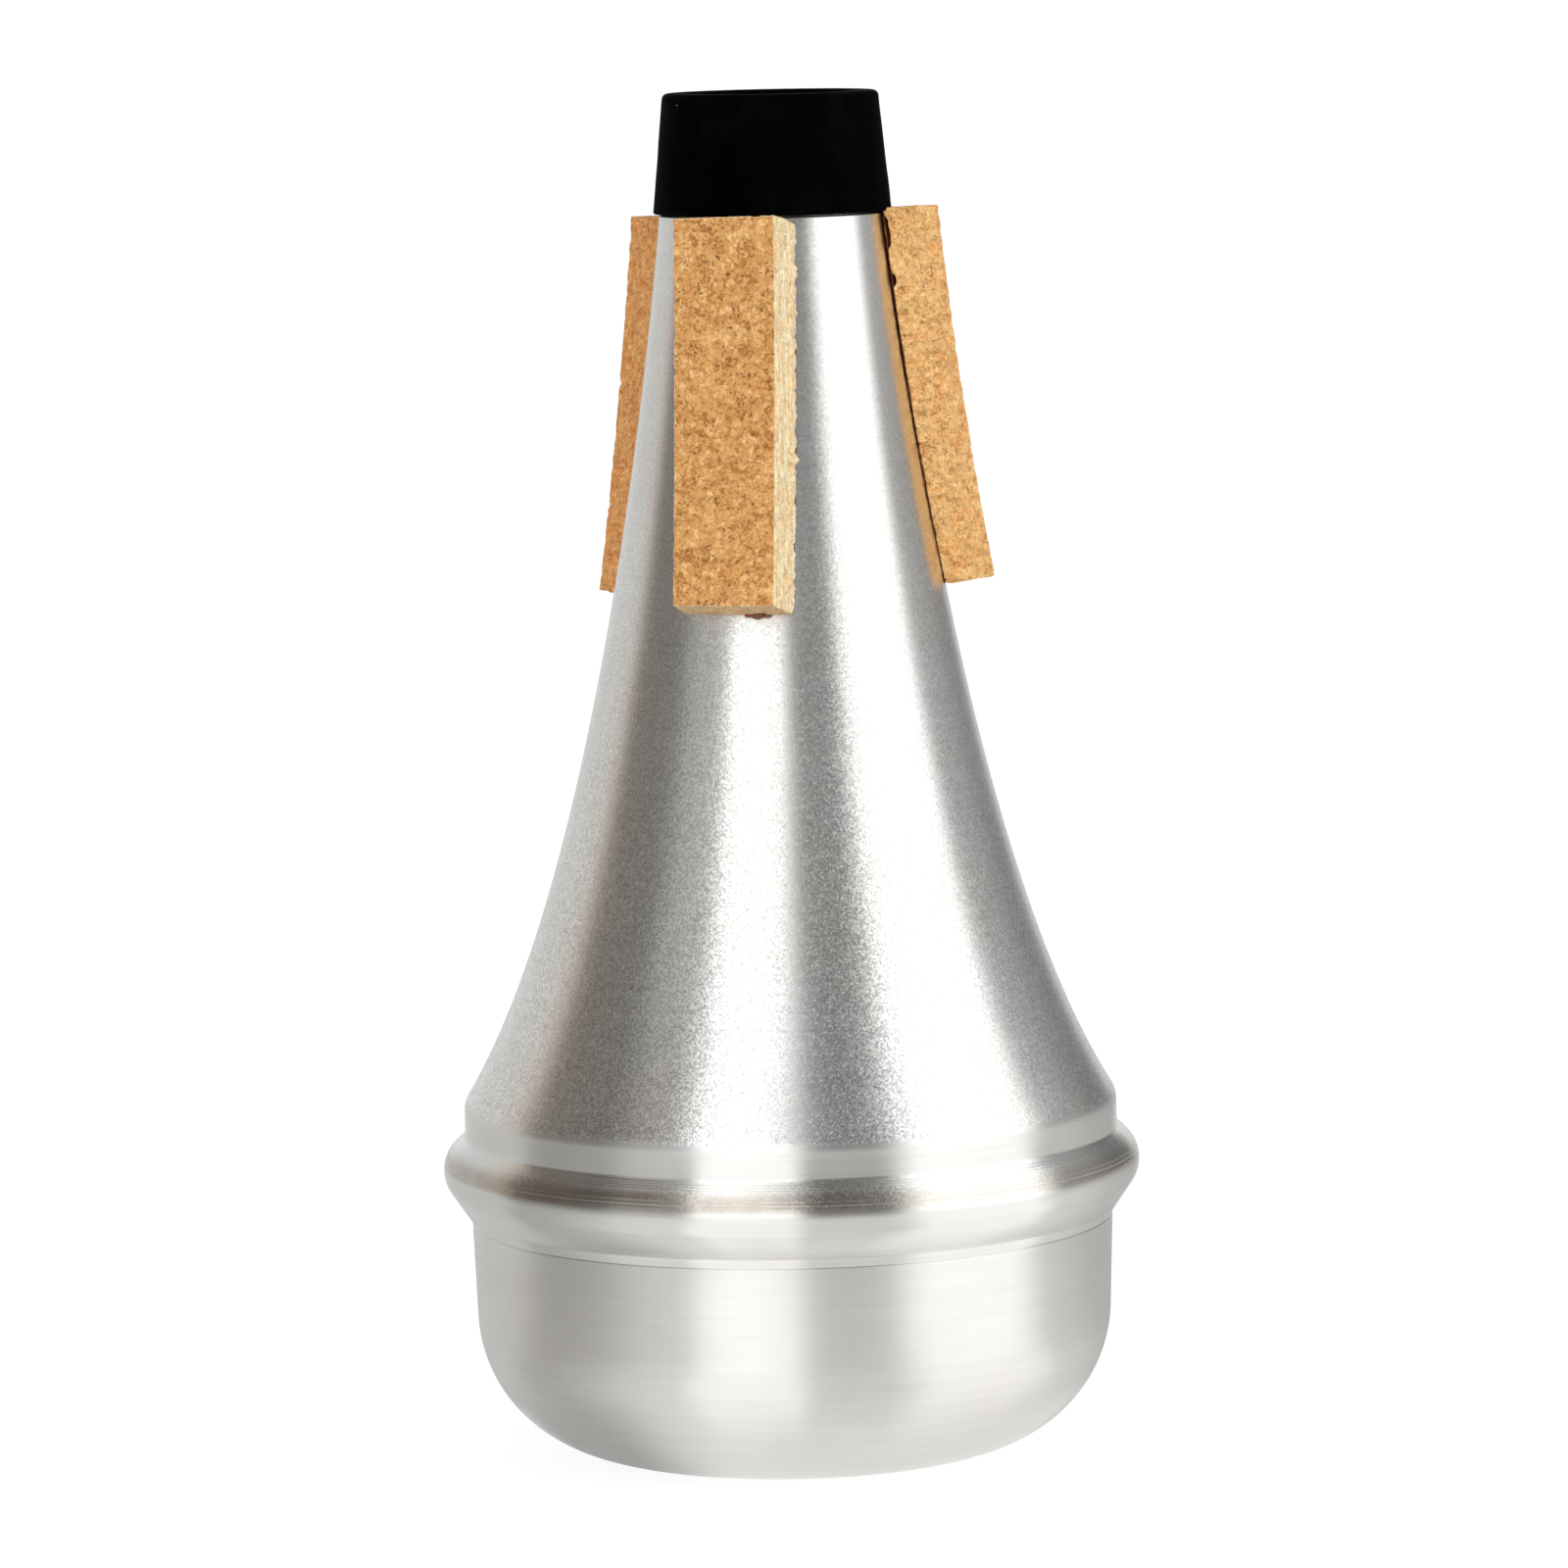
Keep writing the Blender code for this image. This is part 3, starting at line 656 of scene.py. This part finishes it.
def add_piece(name, shape, material, nodes):
    """Makes a bmesh into a smooth piece that rides on the body and stands for its plain nodes."""
    for face in shape.faces:
        face.smooth = True
    mesh = bpy.data.meshes.new(name)
    shape.to_mesh(mesh)
    shape.free()
    mesh.materials.append(material)
    mesh.set_sharp_from_angle(angle=SHARP_ANGLE)
    piece = bpy.data.objects.new(name, mesh)
    bpy.context.scene.collection.objects.link(piece)
    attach(piece, BODY)
    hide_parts(*nodes)
    return piece


class MUTE_OT_effects(bpy.types.Operator):
    """Build the shader groups that the materials share"""
    bl_idname = "mute.effects"
    bl_label = "Shared effects"

    def execute(self, context):
        make_lathe_lines()
        make_metal_grain()
        make_dust()
        make_smudges()
        make_cork_grain()
        make_soft_box()
        make_studio()
        return {"FINISHED"}


class MUTE_OT_body(bpy.types.Operator):
    """Spin the aluminium body: neck, flare, shoulder, band and the rolled seam"""
    bl_idname = "mute.body"
    bl_label = "Spun body"

    def execute(self, context):
        body = context.scene.mute_body
        nose = bead_nose(body)
        hollow, meet = crease(body)
        under = -math.degrees(body.underside)
        foot, foot_handle, top_handle, top = flare_knots(body)
        foot_angle = math.degrees(body.flare_foot_angle)
        shoulder = (body.band_radius - body.shoulder_radius, hollow[1] + body.band_height)
        lip_inner = body.wall_radius - body.lip_sheet
        rim = TIP_HIGH.z - context.scene.mute_tip.lip
        rim_radius = body.neck_radius - (rim - body.flare_top) * math.tan(body.neck_taper)

        outline = Outline(rim_radius, rim - 0.0001)
        outline.line(body.neck_radius, body.flare_top + 0.0002)
        outline.line(*top)
        outline.curve(top_handle, foot_handle, foot, 56)
        outline.arc(shoulder, -foot_angle, 12)
        outline.line(body.band_radius, hollow[1])
        outline.arc(hollow, meet, 10)
        outline.scored_arc(nose, body.nose_radius, meet, under, SCORE_ANGLES,
                           body.score_width, body.score_depth, 0.3)
        # a fine step where the roller left the slope, and the upright lip with its bevelled edge
        low_line = under_nose(body, body.nose_radius, body.wall_radius + 0.0006)
        outline.line(low_line[0] + 0.00008, low_line[1] + 0.00010)
        outline.line(low_line[0] - 0.00003, low_line[1] + 0.00002)
        outline.line(low_line[0] - 0.00003, low_line[1] - 0.00007)
        outline.line(body.wall_radius, body.seam_height + body.lip_height)
        outline.line(body.wall_radius, body.seam_height + SHEET_BEVEL)
        outline.line(body.wall_radius - SHEET_BEVEL, body.seam_height)
        outline.line(lip_inner, body.seam_height)
        outline.line(*under_nose(body, body.nose_radius - body.sheet, lip_inner))
        outline.line(*on_circle(nose, body.nose_radius - body.sheet, under))
        outline.arc(nose, meet - under, 24)
        outline.arc(hollow, -meet, 10)
        outline.line(body.band_radius - body.sheet, shoulder[1])
        outline.arc(shoulder, foot_angle, 8)
        slope = Vector((math.cos(body.flare_foot_angle), math.sin(body.flare_foot_angle))) * body.sheet
        top_slope = Vector((math.cos(body.flare_top_angle), math.sin(body.flare_top_angle))) * body.sheet
        outline.curve(foot_handle - slope, top_handle - top_slope, top - top_slope, 40)
        outline.line(body.neck_radius - body.sheet, body.flare_top + body.sheet)
        outline.line(rim_radius - body.sheet, rim - 0.0001)
        shape = outline.spun(SPUN_STEPS)
        material = metal_material("spun_aluminium_brushed", body.metal, body.roughness, runs=30.0,
                                  grain_low=shoulder[1] + 0.001)
        add_piece("spun_body", shape, material, ["cone_shell"])
        return {"FINISHED"}


class MUTE_OT_cup(bpy.types.Operator):
    """Draw the cup that closes the wide end, with the curl inside the seam"""
    bl_idname = "mute.cup"
    bl_label = "Drawn cup"

    def execute(self, context):
        body = context.scene.mute_body
        cup = context.scene.mute_cup
        nose = bead_nose(body)
        under = -math.degrees(body.underside)
        draft = math.degrees(cup.draft)
        ledge = body.seam_height - cup.seam_gap
        drafted = ledge - cup.corner + cup.corner * math.sin(cup.draft)
        corner_r = body.wall_radius - drafted * math.tan(cup.draft) - cup.corner * math.cos(cup.draft)
        corner = (corner_r, cup.corner)
        curl = body.nose_radius - body.sheet - cup.curl_gap
        curl_foot = body.wall_radius - body.lip_sheet - cup.curl_gap
        curl_angle = math.degrees(cup.curl_angle)
        joggle = body.wall_radius - curl_foot

        outline = Outline(0.0, cup.sheet)
        outline.line(corner[0], cup.sheet)
        outline.arc(corner, 90 - draft, 24)
        outline.line(body.wall_radius - cup.sheet, ledge - cup.sheet - joggle)
        outline.line(curl_foot - cup.sheet, ledge - cup.sheet)
        outline.line(*under_nose(body, curl - cup.sheet, curl_foot - cup.sheet))
        outline.line(*on_circle(nose, curl - cup.sheet, under))
        outline.arc(nose, curl_angle - under, 16)
        outline.arc(on_circle(nose, curl - cup.sheet / 2, curl_angle), -180, 8)
        outline.arc(nose, under - curl_angle, 16)
        outline.line(*under_nose(body, curl, curl_foot))
        outline.line(curl_foot, ledge)
        outline.line(body.wall_radius - SHEET_BEVEL, ledge)
        outline.line(body.wall_radius, ledge - SHEET_BEVEL)
        outline.line(*on_circle(corner, cup.corner, -draft))
        outline.arc(corner, draft - 90, 40)
        outline.line(corner[0] * 0.5, 0.0)
        outline.line(0.0, 0.0)
        shape = outline.spun(SPUN_STEPS, closed=False)
        material = metal_material("drawn_aluminium_brushed", cup.metal, cup.roughness, runs=90.0)
        add_piece("drawn_cup", shape, material, ["base_cup"])
        return {"FINISHED"}


class MUTE_OT_tip(bpy.types.Operator):
    """Mould the rubber sleeve on the small end"""
    bl_idname = "mute.tip"
    bl_label = "Rubber tip"

    def execute(self, context):
        tip = context.scene.mute_tip
        top = TIP_HIGH.z
        foot = TIP_LOW.z
        taper = math.degrees(tip.taper)

        def outside(height):
            return tip.foot_radius - (height - foot) * math.tan(tip.taper)

        edge_z = top - tip.edge_radius
        edge = (outside(edge_z) - tip.edge_radius / math.cos(tip.taper), edge_z)
        mouth = (tip.mouth_radius + tip.mouth_edge, top - tip.mouth_edge)
        outline = Outline(tip.mouth_radius, mouth[1])
        outline.arc(mouth, -90, 6)
        outline.line(edge[0], top)
        outline.arc(edge, taper - 90, 8)
        start = outline.last.co.copy()
        for i in range(1, SLEEVE_RINGS):
            height = start.z + (foot + 0.0002 - start.z) * i / SLEEVE_RINGS
            outline.line(outside(height), height)
        # the lower edge is slightly rounded
        outline.line(outside(foot) - 0.00002, foot + 0.00015)
        outline.line(outside(foot) - 0.00016, foot)
        outline.line(outside(foot) - tip.wall, foot)
        outline.line(outside(top - tip.lip) - tip.wall, top - tip.lip)
        outline.line(tip.mouth_radius, top - tip.lip)
        shape = outline.spun(SLEEVE_STEPS)
        for vert in shape.verts:
            ripple = noise.noise(vert.co * 260.0) * 0.00007    # the sleeve is never quite round
            out = Vector((vert.co.x, vert.co.y, 0.0)).normalized()
            vert.co += out * ripple
        add_piece("rubber_sleeve", shape, rubber_material(tip), ["rubber_tip"])
        return {"FINISHED"}


class Strip:
    """Where a cork strip is glued, and how its ends were cut.

    Top and run are its start and length down the flare. A cut slants an end through the thickness, a
    skew slants it across the face, and drop lowers one back corner of the top. Its lit pale side, 1 or
    -1, gets the pale colour of the knife's cut in full, and its other side and its ends get it in part:
    this is partly the cut's real colour and partly painted light on the lit side. The cut colour is
    partly real too and partly painted light and shade, palest on the front strip, whose pale side faces
    the bright right. The streaks of the saw show as far as it is striped.
    """

    def __init__(self, azimuth, swing, top, run, foot_cut, top_cut=0.0, foot_skew=0.0, top_skew=0.0,
                 drop=0.0, seed=0.0, cut_and_lit_colour=(0.8, 0.5, 0.2), striped=0.3,
                 streaks=(4200.0, 1100.0), lit_pale_side=1, chips=()):
        self.azimuth = math.radians(azimuth)
        self.swing = math.radians(swing)
        self.top = top
        self.run = run
        self.foot_cut = math.tan(math.radians(foot_cut))
        self.top_cut = math.tan(math.radians(top_cut))
        self.foot_skew = math.tan(math.radians(foot_skew))
        self.top_skew = math.tan(math.radians(top_skew))
        self.drop = drop
        self.seed = seed
        self.cut_and_lit_colour = cut_and_lit_colour
        self.striped = striped
        self.streaks = streaks
        self.lit_pale_side = lit_pale_side
        self.chips = chips

    def turned(self, flare):
        """Turns a strip that was made on the -Y side to its place."""
        pivot = Matrix.Translation((0.0, 0.0, flare.place(self.top + self.run / 2, 0.0).y))
        lean = pivot @ Matrix.Rotation(-self.swing, 4, "Y") @ pivot.inverted()
        return Matrix.Rotation(self.azimuth, 4, "Z") @ lean


# The chips are places along a back edge where the cork has come off: side, run, length and depth
# each strip's cut colour is partly the cut's real colour and partly painted light or shade for how its side
# is lit
STRIPS = {
    "front": Strip(-16.3, 1.2, 0.0, 0.0494, 6.0, foot_skew=1.2, drop=0.0011, seed=3.0,
                   cut_and_lit_colour=(0.97, 0.76, 0.47), striped=0.72, streaks=(2400.0, 260.0)),
    "right": Strip(101.8, 0.6, -0.00005, 0.04845, -2.0, top_cut=-3.5, top_skew=3.0, seed=17.0,
                   cut_and_lit_colour=(0.78, 0.46, 0.18), striped=0.45, lit_pale_side=-1,
                   chips=((-1, 0.00245, 0.0046, 0.00040), (-1, 0.00865, 0.0016, 0.00045))),
    "left": Strip(-137.5, 0.9, 0.0010, 0.0499, -6.0, seed=31.0,
                  cut_and_lit_colour=(0.80, 0.39, 0.135), striped=0.4, chips=((1, 0.0290, 0.0012, 0.0005),)),
}


# Relief of the cork, in metres: depth of the seams between granules, lift of a granule, roughness,
# depth of a pit where a granule is missing and how much deeper it is on a cut side, and of a small pit
SEAM_DEPTH, GRANULE_LIFT, FUZZ = 0.00005, 0.00003, 0.00004
PIT_DEPTH, CUT_PIT_DEPTH, SMALL_PIT_DEPTH = 0.00014, 0.00016, 0.00016
# Ragged sides, in metres: raggedness and spurs of the back edge, and raggedness all over
RAGGED_BACK, SPUR, RAGGED_SIDE = 0.00022, 0.0010, 0.00008


def cork_relief(place, cork, cut):
    """How far the surface of the cork stands out or is pitted at a place, in metres."""
    (near, second, _, _), (middle, _, _, _) = noise.voronoi(place / cork.granule)
    seam = min(1.0, (second - near) / 0.28)
    chance = noise.cell(middle * 7.3)
    height = -SEAM_DEPTH * (1.0 - seam) ** 2
    height += GRANULE_LIFT * chance
    height += FUZZ * noise.noise(place * 1500.0)
    if chance > 0.62:
        height -= (PIT_DEPTH + CUT_PIT_DEPTH * cut) * min(1.0, seam * 1.5)
    (near, second, _, _), (middle, _, _, _) = noise.voronoi(place / (cork.granule * 0.45))
    if noise.cell(middle * 5.1) > 0.72:
        height -= SMALL_PIT_DEPTH * min(1.0, (second - near) / 0.4)
    return height


def cork_shape(cork, flare, strip):
    """Strip of cork as a closed block: cut finely, bent along the flare and roughened."""
    shape = bmesh.new()
    bmesh.ops.create_cube(shape, size=2.0)
    for axis, size in ((2, strip.run), (0, cork.width), (1, cork.thickness)):
        along = [e for e in shape.edges if abs(e.verts[0].co[axis] - e.verts[1].co[axis]) > 1]
        bmesh.ops.subdivide_edges(shape, edges=along, cuts=round(size / cork.mesh_step) - 1)
    cut = shape.verts.layers.float.new("cut")
    for vert in shape.verts:
        across, deep, down = vert.co.x, (vert.co.y + 1) / 2, (1 - vert.co.z) / 2
        on_end = abs(vert.co.z) > 0.999
        on_side = abs(across) > 0.999
        # the lit pale side gets the cut's pale colour in full, partly as painted light; the other side and
        # the ends get it at 0.55
        vert[cut] = 1.0 if across * strip.lit_pale_side > 0.999 else 0.55 if on_side or on_end else 0.0
        depth = deep * cork.thickness
        x = across * (cork.width / 2 + depth * math.tan(cork.side_angle))
        first = strip.top + depth * strip.top_cut + x * strip.top_skew
        first += strip.drop * deep**2 * min(1.0, max(0.0, (across - 0.5) / 0.5)) ** 2
        last = strip.top + strip.run + depth * strip.foot_cut + x * strip.foot_skew
        run = first + (last - first) * down
        lift = 0.0
        for side, middle, span, size in strip.chips:
            near = max(0.0, 1 - abs(run - strip.top - middle) / span * 2)
            lift += size * min(1.0, near * 3) * max(0.0, 1 - abs(across - side) * 3)
        rag = noise.noise(Vector((run * 900.0, across * 3.0 + depth * 700.0, strip.seed)))
        rag += 0.8 * noise.noise(Vector((run * 2600.0, across * 3.0 + depth * 1800.0, strip.seed + 5.0)))
        spur = max(0.0, noise.noise(Vector((run * 700.0, across, strip.seed + 9.0))) - 0.25)
        if on_side:
            x += across * (RAGGED_BACK * rag + SPUR * spur) * deep**3
            x += across * RAGGED_SIDE * rag
        face = flare.place(run, cork.glue_line + cork.thickness)
        back = flare.place(run, cork.glue_line + lift)
        r = face.x + (math.sqrt(max(back.x**2 - x * x, 0.0)) - face.x) * deep
        z = face.y + (back.y - face.y) * deep
        vert.co = (x, -r, z)
    bmesh.ops.recalc_face_normals(shape, faces=shape.faces)
    shape.normal_update()
    normals = [vert.normal.copy() for vert in shape.verts]
    shift = Vector((strip.seed, strip.seed * 0.7, 0.0)) * 0.01
    for vert, normal in zip(shape.verts, normals):
        vert.co += normal * cork_relief(vert.co + shift, cork, vert[cut])
    # the knife's edges are worn round
    corners = [v for v in shape.verts if any(e.calc_face_angle(0.0) > 0.9 for e in v.link_edges)]
    for _ in range(2):
        bmesh.ops.smooth_vert(shape, verts=corners, factor=0.5, use_axis_x=True, use_axis_y=True,
                              use_axis_z=True)
    return shape


class MUTE_OT_corks(bpy.types.Operator):
    """Cut the three cork strips and bend them along the flare"""
    bl_idname = "mute.corks"
    bl_label = "Cork strips"

    def execute(self, context):
        cork = context.scene.mute_cork
        flare = Flare(context.scene.mute_body)
        for side, strip in STRIPS.items():
            shape = cork_shape(cork, flare, strip)
            shape.transform(strip.turned(flare))
            material = cork_material("pressed_cork_" + side, cork, strip.cut_and_lit_colour, strip.striped,
                                     strip.streaks)
            add_piece("cork_" + side, shape, material, ["cork_strip_" + side])
        return {"FINISHED"}


# Drops squeezed out below the front strip: place across it, radius and stretch
GLUE_DROPS = ((0.0028, 0.00055, 1.6), (0.0040, 0.00035, 1.8), (0.0016, 0.0003, 1.5))


def glue_shape(cork, flare, strip):
    """Film of adhesive with an uneven edge, wrapped on the flare and given its thickness."""
    shape = bmesh.new()
    bmesh.ops.create_grid(shape, x_segments=40, y_segments=120, size=1.0)
    half = cork.width / 2 + cork.thickness * math.tan(cork.side_angle)
    for vert in shape.verts:
        across, down = vert.co.x, (1 - vert.co.y) / 2
        ooze = 0.0003 * noise.noise(Vector((down * 40.0, across * 2.0, strip.seed)))
        x = across * (half - 0.00015 + ooze)
        top = max(strip.top, 0.0) + 0.0002
        foot = strip.top + strip.run + cork.thickness * strip.foot_cut + x * strip.foot_skew
        foot += 0.0003 * noise.noise(Vector((across * 5.0, strip.seed, 4.0))) - 0.00035
        place = flare.place(top + down * (foot - top), cork.glue_line / 2 + 0.00003)
        vert.co = (x, -math.sqrt(place.x**2 - x * x), place.y)
    bmesh.ops.solidify(shape, geom=shape.faces[:], thickness=cork.glue_line)
    bmesh.ops.recalc_face_normals(shape, faces=shape.faces)
    return shape


class MUTE_OT_glue(bpy.types.Operator):
    """Spread the adhesive behind the strips, with the blob squeezed out below the front one"""
    bl_idname = "mute.glue"
    bl_label = "Adhesive"

    def execute(self, context):
        cork = context.scene.mute_cork
        flare = Flare(context.scene.mute_body)
        material = glue_material(cork)
        for side, strip in STRIPS.items():
            shape = glue_shape(cork, flare, strip)
            if side == "front":
                foot = strip.top + strip.run + cork.thickness * strip.foot_cut
                for x, size, wide in GLUE_DROPS:
                    place = flare.place(foot + 0.0001 + x * strip.foot_skew, 0.00030)
                    blob = bmesh.ops.create_icosphere(shape, subdivisions=3, radius=size)["verts"]
                    bmesh.ops.scale(shape, verts=blob, vec=(wide, 0.8, 0.9))
                    bmesh.ops.translate(shape, verts=blob, vec=(x, -math.sqrt(place.x**2 - x * x), place.y))
            shape.transform(strip.turned(flare))
            add_piece("glue_" + side, shape, material, ["glue_film_" + side])
        return {"FINISHED"}


# Stage

# Name, place and share of the fill lamp's power of each fill lamp
FILL_LAMPS = (("fill_front", (-0.5, -1.9, 1.1), 1.0), ("fill_side", (1.6, -1.1, 0.9), 0.75))
FILL_AIM = Vector((0.0, 0.0, 0.09))


class MUTE_OT_stage(bpy.types.Operator):
    """Set up the pale floor, the studio light and the camera"""
    bl_idname = "mute.stage"
    bl_label = "Stage"

    def execute(self, context):
        stage = context.scene.mute_stage
        self.add_floor(stage)
        self.light_world(context, stage)
        self.add_fill(context, stage)
        self.add_camera(context, stage)
        context.scene.view_settings.view_transform = "Standard"
        return {"FINISHED"}

    def add_floor(self, stage):
        """Wide pale floor that keeps a soft shadow of the mute."""
        shape = bmesh.new()
        bmesh.ops.create_circle(shape, cap_ends=True, radius=stage.floor_radius, segments=96)
        bmesh.ops.translate(shape, verts=shape.verts, vec=(0.0, 0.0, -0.0001))
        mesh = bpy.data.meshes.new("floor")
        shape.to_mesh(mesh)
        shape.free()
        floor = bpy.data.objects.new("floor", mesh)
        bpy.context.scene.collection.objects.link(floor)
        material = bpy.data.materials.new("pale_floor")
        material.use_nodes = True
        tree = material.node_tree
        tree.nodes.clear()
        out = put(tree, "OutputMaterial")
        paths = put(tree, "LightPath").outputs
        place = put(tree, "TexCoord").outputs["Object"]
        axis = put(tree, "SeparateXYZ", {0: place}).outputs
        azimuth = maths(tree, "ARCTAN2", axis[0], maths(tree, "MULTIPLY", axis[1], -1.0))
        azimuth = maths(tree, "DEGREES", azimuth)
        run = put(tree, "VectorMath", {0: place}, operation="LENGTH").outputs["Value"]
        # the mute's round wall spreads what it mirrors of the floor, most of all close to its foot
        close = ease(tree, run, 0.028, 0.060, 0.95, 0.0)
        spread = maths(tree, "ADD", close, ease(tree, run, 0.10, 0.60, 0.15, 0.0))
        turned = maths(tree, "ABSOLUTE", azimuth)
        turned = maths(tree, "MINIMUM", turned, maths(tree, "MULTIPLY_ADD", turned, -1.25, 225.0))
        turned = maths(tree, "MULTIPLY", turned, maths(tree, "SIGN", azimuth))
        azimuth = maths(tree, "MULTIPLY_ADD", turned, spread, azimuth)
        studio = use_group(tree, "Studio", Azimuth=azimuth, Dim=stage.dim)["Light"]
        front = soft_box(tree, azimuth, *FLOOR_FRONT)
        shade = soft_box(tree, azimuth, *FLOOR_SHADE)
        side = soft_box(tree, azimuth, *FLOOR_SIDE)
        # the glow that the metal mirrors, under the mute's foot, near it and far from it
        foot = maths(tree, "SUBTRACT", 0.93, shade)
        near = maths(tree, "ADD", maths(tree, "MULTIPLY_ADD", studio, 0.27, 0.43), front)
        near = maths(tree, "MULTIPLY_ADD", side, 0.5, near)
        far = maths(tree, "ADD", maths(tree, "MULTIPLY_ADD", studio, 0.64, 0.19), side)
        glow = put(tree, "Mix", {0: ease(tree, run, 0.036, 0.056), 2: foot, 3: near}).outputs[0]
        glow = put(tree, "Mix", {0: ease(tree, run, 0.18, 0.50), 2: glow, 3: far}).outputs[0]
        pools = put(tree, "Emission", {"Strength": glow})
        lit = put(tree, "BsdfDiffuse", {"Color": (0.72, 0.72, 0.72, 1.0)})
        plain = put(tree, "MixShader", {0: paths["Is Glossy Ray"], 1: lit.outputs[0], 2: pools.outputs[0]})
        white = put(tree, "Emission", {"Strength": 0.90})
        shaded = put(tree, "BsdfDiffuse", {"Color": (0.16, 0.16, 0.16, 1.0)})
        seen = put(tree, "AddShader", {0: white.outputs[0], 1: shaded.outputs[0]})
        mix = put(tree, "MixShader", {0: paths["Is Camera Ray"], 1: plain.outputs[0], 2: seen.outputs[0]})
        feed(tree, out, {"Surface": mix.outputs[0]})
        mesh.materials.append(material)

    def light_world(self, context, stage):
        """Soft boxes and a pale backdrop all round, and plain white behind the mute."""
        world = bpy.data.worlds.new("studio")
        context.scene.world = world
        world.use_nodes = True
        tree = world.node_tree
        tree.nodes.clear()
        out = put(tree, "OutputWorld")
        # the soft boxes stand upright round the mute and lean in over it
        axis = put(tree, "SeparateXYZ", {0: put(tree, "TexCoord").outputs["Generated"]}).outputs
        azimuth = maths(tree, "ARCTAN2", axis[0], maths(tree, "SUBTRACT", 1.0, axis[1]))
        azimuth = maths(tree, "MULTIPLY", maths(tree, "DEGREES", azimuth), 2.0)
        studio = use_group(tree, "Studio", Azimuth=azimuth, Dim=stage.dim)
        tint = blend(tree, studio["Warmth"], rgba((0.98, 1.0, 1.01)), rgba((1.0, 0.87, 0.775)))
        # higher up, the soft boxes in front are narrower and the wall beside them is darker
        high = maths(tree, "MULTIPLY", ease(tree, axis[2], 0.35, 0.75), ease(tree, axis[1], 0.25, -0.15))
        right = soft_box(tree, azimuth, *HIGH_RIGHT)
        left = soft_box(tree, azimuth, *HIGH_LEFT)
        side = soft_box(tree, azimuth, *HIGH_SIDE)
        shade = maths(tree, "ADD", side, maths(tree, "ADD", right, left))
        shade = maths(tree, "MULTIPLY", high, shade)
        light = maths(tree, "MULTIPLY", studio["Light"], maths(tree, "SUBTRACT", 1.0, shade))
        brown = maths(tree, "MULTIPLY", maths(tree, "MULTIPLY", high, left), 2.4)
        tint = blend(tree, brown, tint, rgba((1.0, 0.90, 0.82)))
        seen = put(tree, "LightPath").outputs["Is Camera Ray"]
        lit = put(tree, "Background", {"Color": tint, "Strength": light})
        white = put(tree, "Background", {"Color": (1.0, 1.0, 1.0, 1.0), "Strength": 1.0})
        mix = put(tree, "MixShader", {0: seen, 1: lit.outputs[0], 2: white.outputs[0]})
        feed(tree, out, {"Surface": mix.outputs[0]})

    def add_fill(self, context, stage):
        """Broad fill lamps, which the metal doesn't mirror."""
        for name, place, power in FILL_LAMPS:
            lamp = bpy.data.lights.new(name, "AREA")
            lamp.shape = "SQUARE"
            lamp.size = 1.5
            lamp.energy = stage.fill_power * power
            fill = bpy.data.objects.new(name, lamp)
            context.scene.collection.objects.link(fill)
            fill.visible_glossy = False
            fill.visible_camera = False
            place = Vector(place)
            aim = (FILL_AIM - place).to_track_quat("-Z", "Y")
            fill.matrix_world = Matrix.Translation(place) @ aim.to_matrix().to_4x4()

    def add_camera(self, context, stage):
        """Camera at the photograph's angle."""
        camera = bpy.data.objects.new("camera", bpy.data.cameras.new("camera"))
        context.scene.collection.objects.link(camera)
        camera.data.lens = stage.camera_lens
        camera.data.sensor_width = 36.0
        place = Matrix.Translation((0.0, -stage.camera_distance, stage.camera_height))
        tilt = Matrix.Rotation(math.radians(90) - stage.camera_tilt, 4, "X")
        camera.matrix_world = place @ tilt @ Matrix.Rotation(-stage.camera_roll, 4, "Z")
        context.scene.camera = camera


class MUTE_PT_making(bpy.types.Panel):
    """Sidebar list of the mute's pieces, in the order in which they are made"""
    bl_idname = "MUTE_PT_making"
    bl_label = "Trumpet mute"
    bl_space_type = "VIEW_3D"
    bl_region_type = "UI"
    bl_category = "Mute"

    def draw(self, context):
        for operator in OPERATORS:
            self.layout.operator(operator.bl_idname)
        for name in SIZES:
            sizes = getattr(context.scene, name)
            box = self.layout.box()
            for entry in sizes.__annotations__:
                box.prop(sizes, entry)


SIZES = {"mute_body": MuteBodySizes, "mute_cup": MuteCupSizes, "mute_tip": MuteTipSizes,
         "mute_cork": MuteCorkSizes, "mute_stage": MuteStageSizes}
OPERATORS = (MUTE_OT_effects, MUTE_OT_body, MUTE_OT_cup, MUTE_OT_tip, MUTE_OT_corks, MUTE_OT_glue,
             MUTE_OT_stage)


def register():
    """Registers the sizes, the operators and the panel."""
    for name, sizes in SIZES.items():
        bpy.utils.register_class(sizes)
        setattr(bpy.types.Scene, name, PointerProperty(type=sizes))
    for operator in OPERATORS:
        bpy.utils.register_class(operator)
    bpy.utils.register_class(MUTE_PT_making)


def unregister():
    """Takes everything off again."""
    bpy.utils.unregister_class(MUTE_PT_making)
    for operator in reversed(OPERATORS):
        bpy.utils.unregister_class(operator)
    for name, sizes in SIZES.items():
        delattr(bpy.types.Scene, name)
        bpy.utils.unregister_class(sizes)


def main():
    """Builds every piece in order."""
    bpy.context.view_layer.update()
    register()
    bpy.ops.mute.effects()
    bpy.ops.mute.body()
    bpy.ops.mute.cup()
    bpy.ops.mute.tip()
    bpy.ops.mute.corks()
    bpy.ops.mute.glue()
    bpy.ops.mute.stage()


if __name__ == "__main__":
    main()
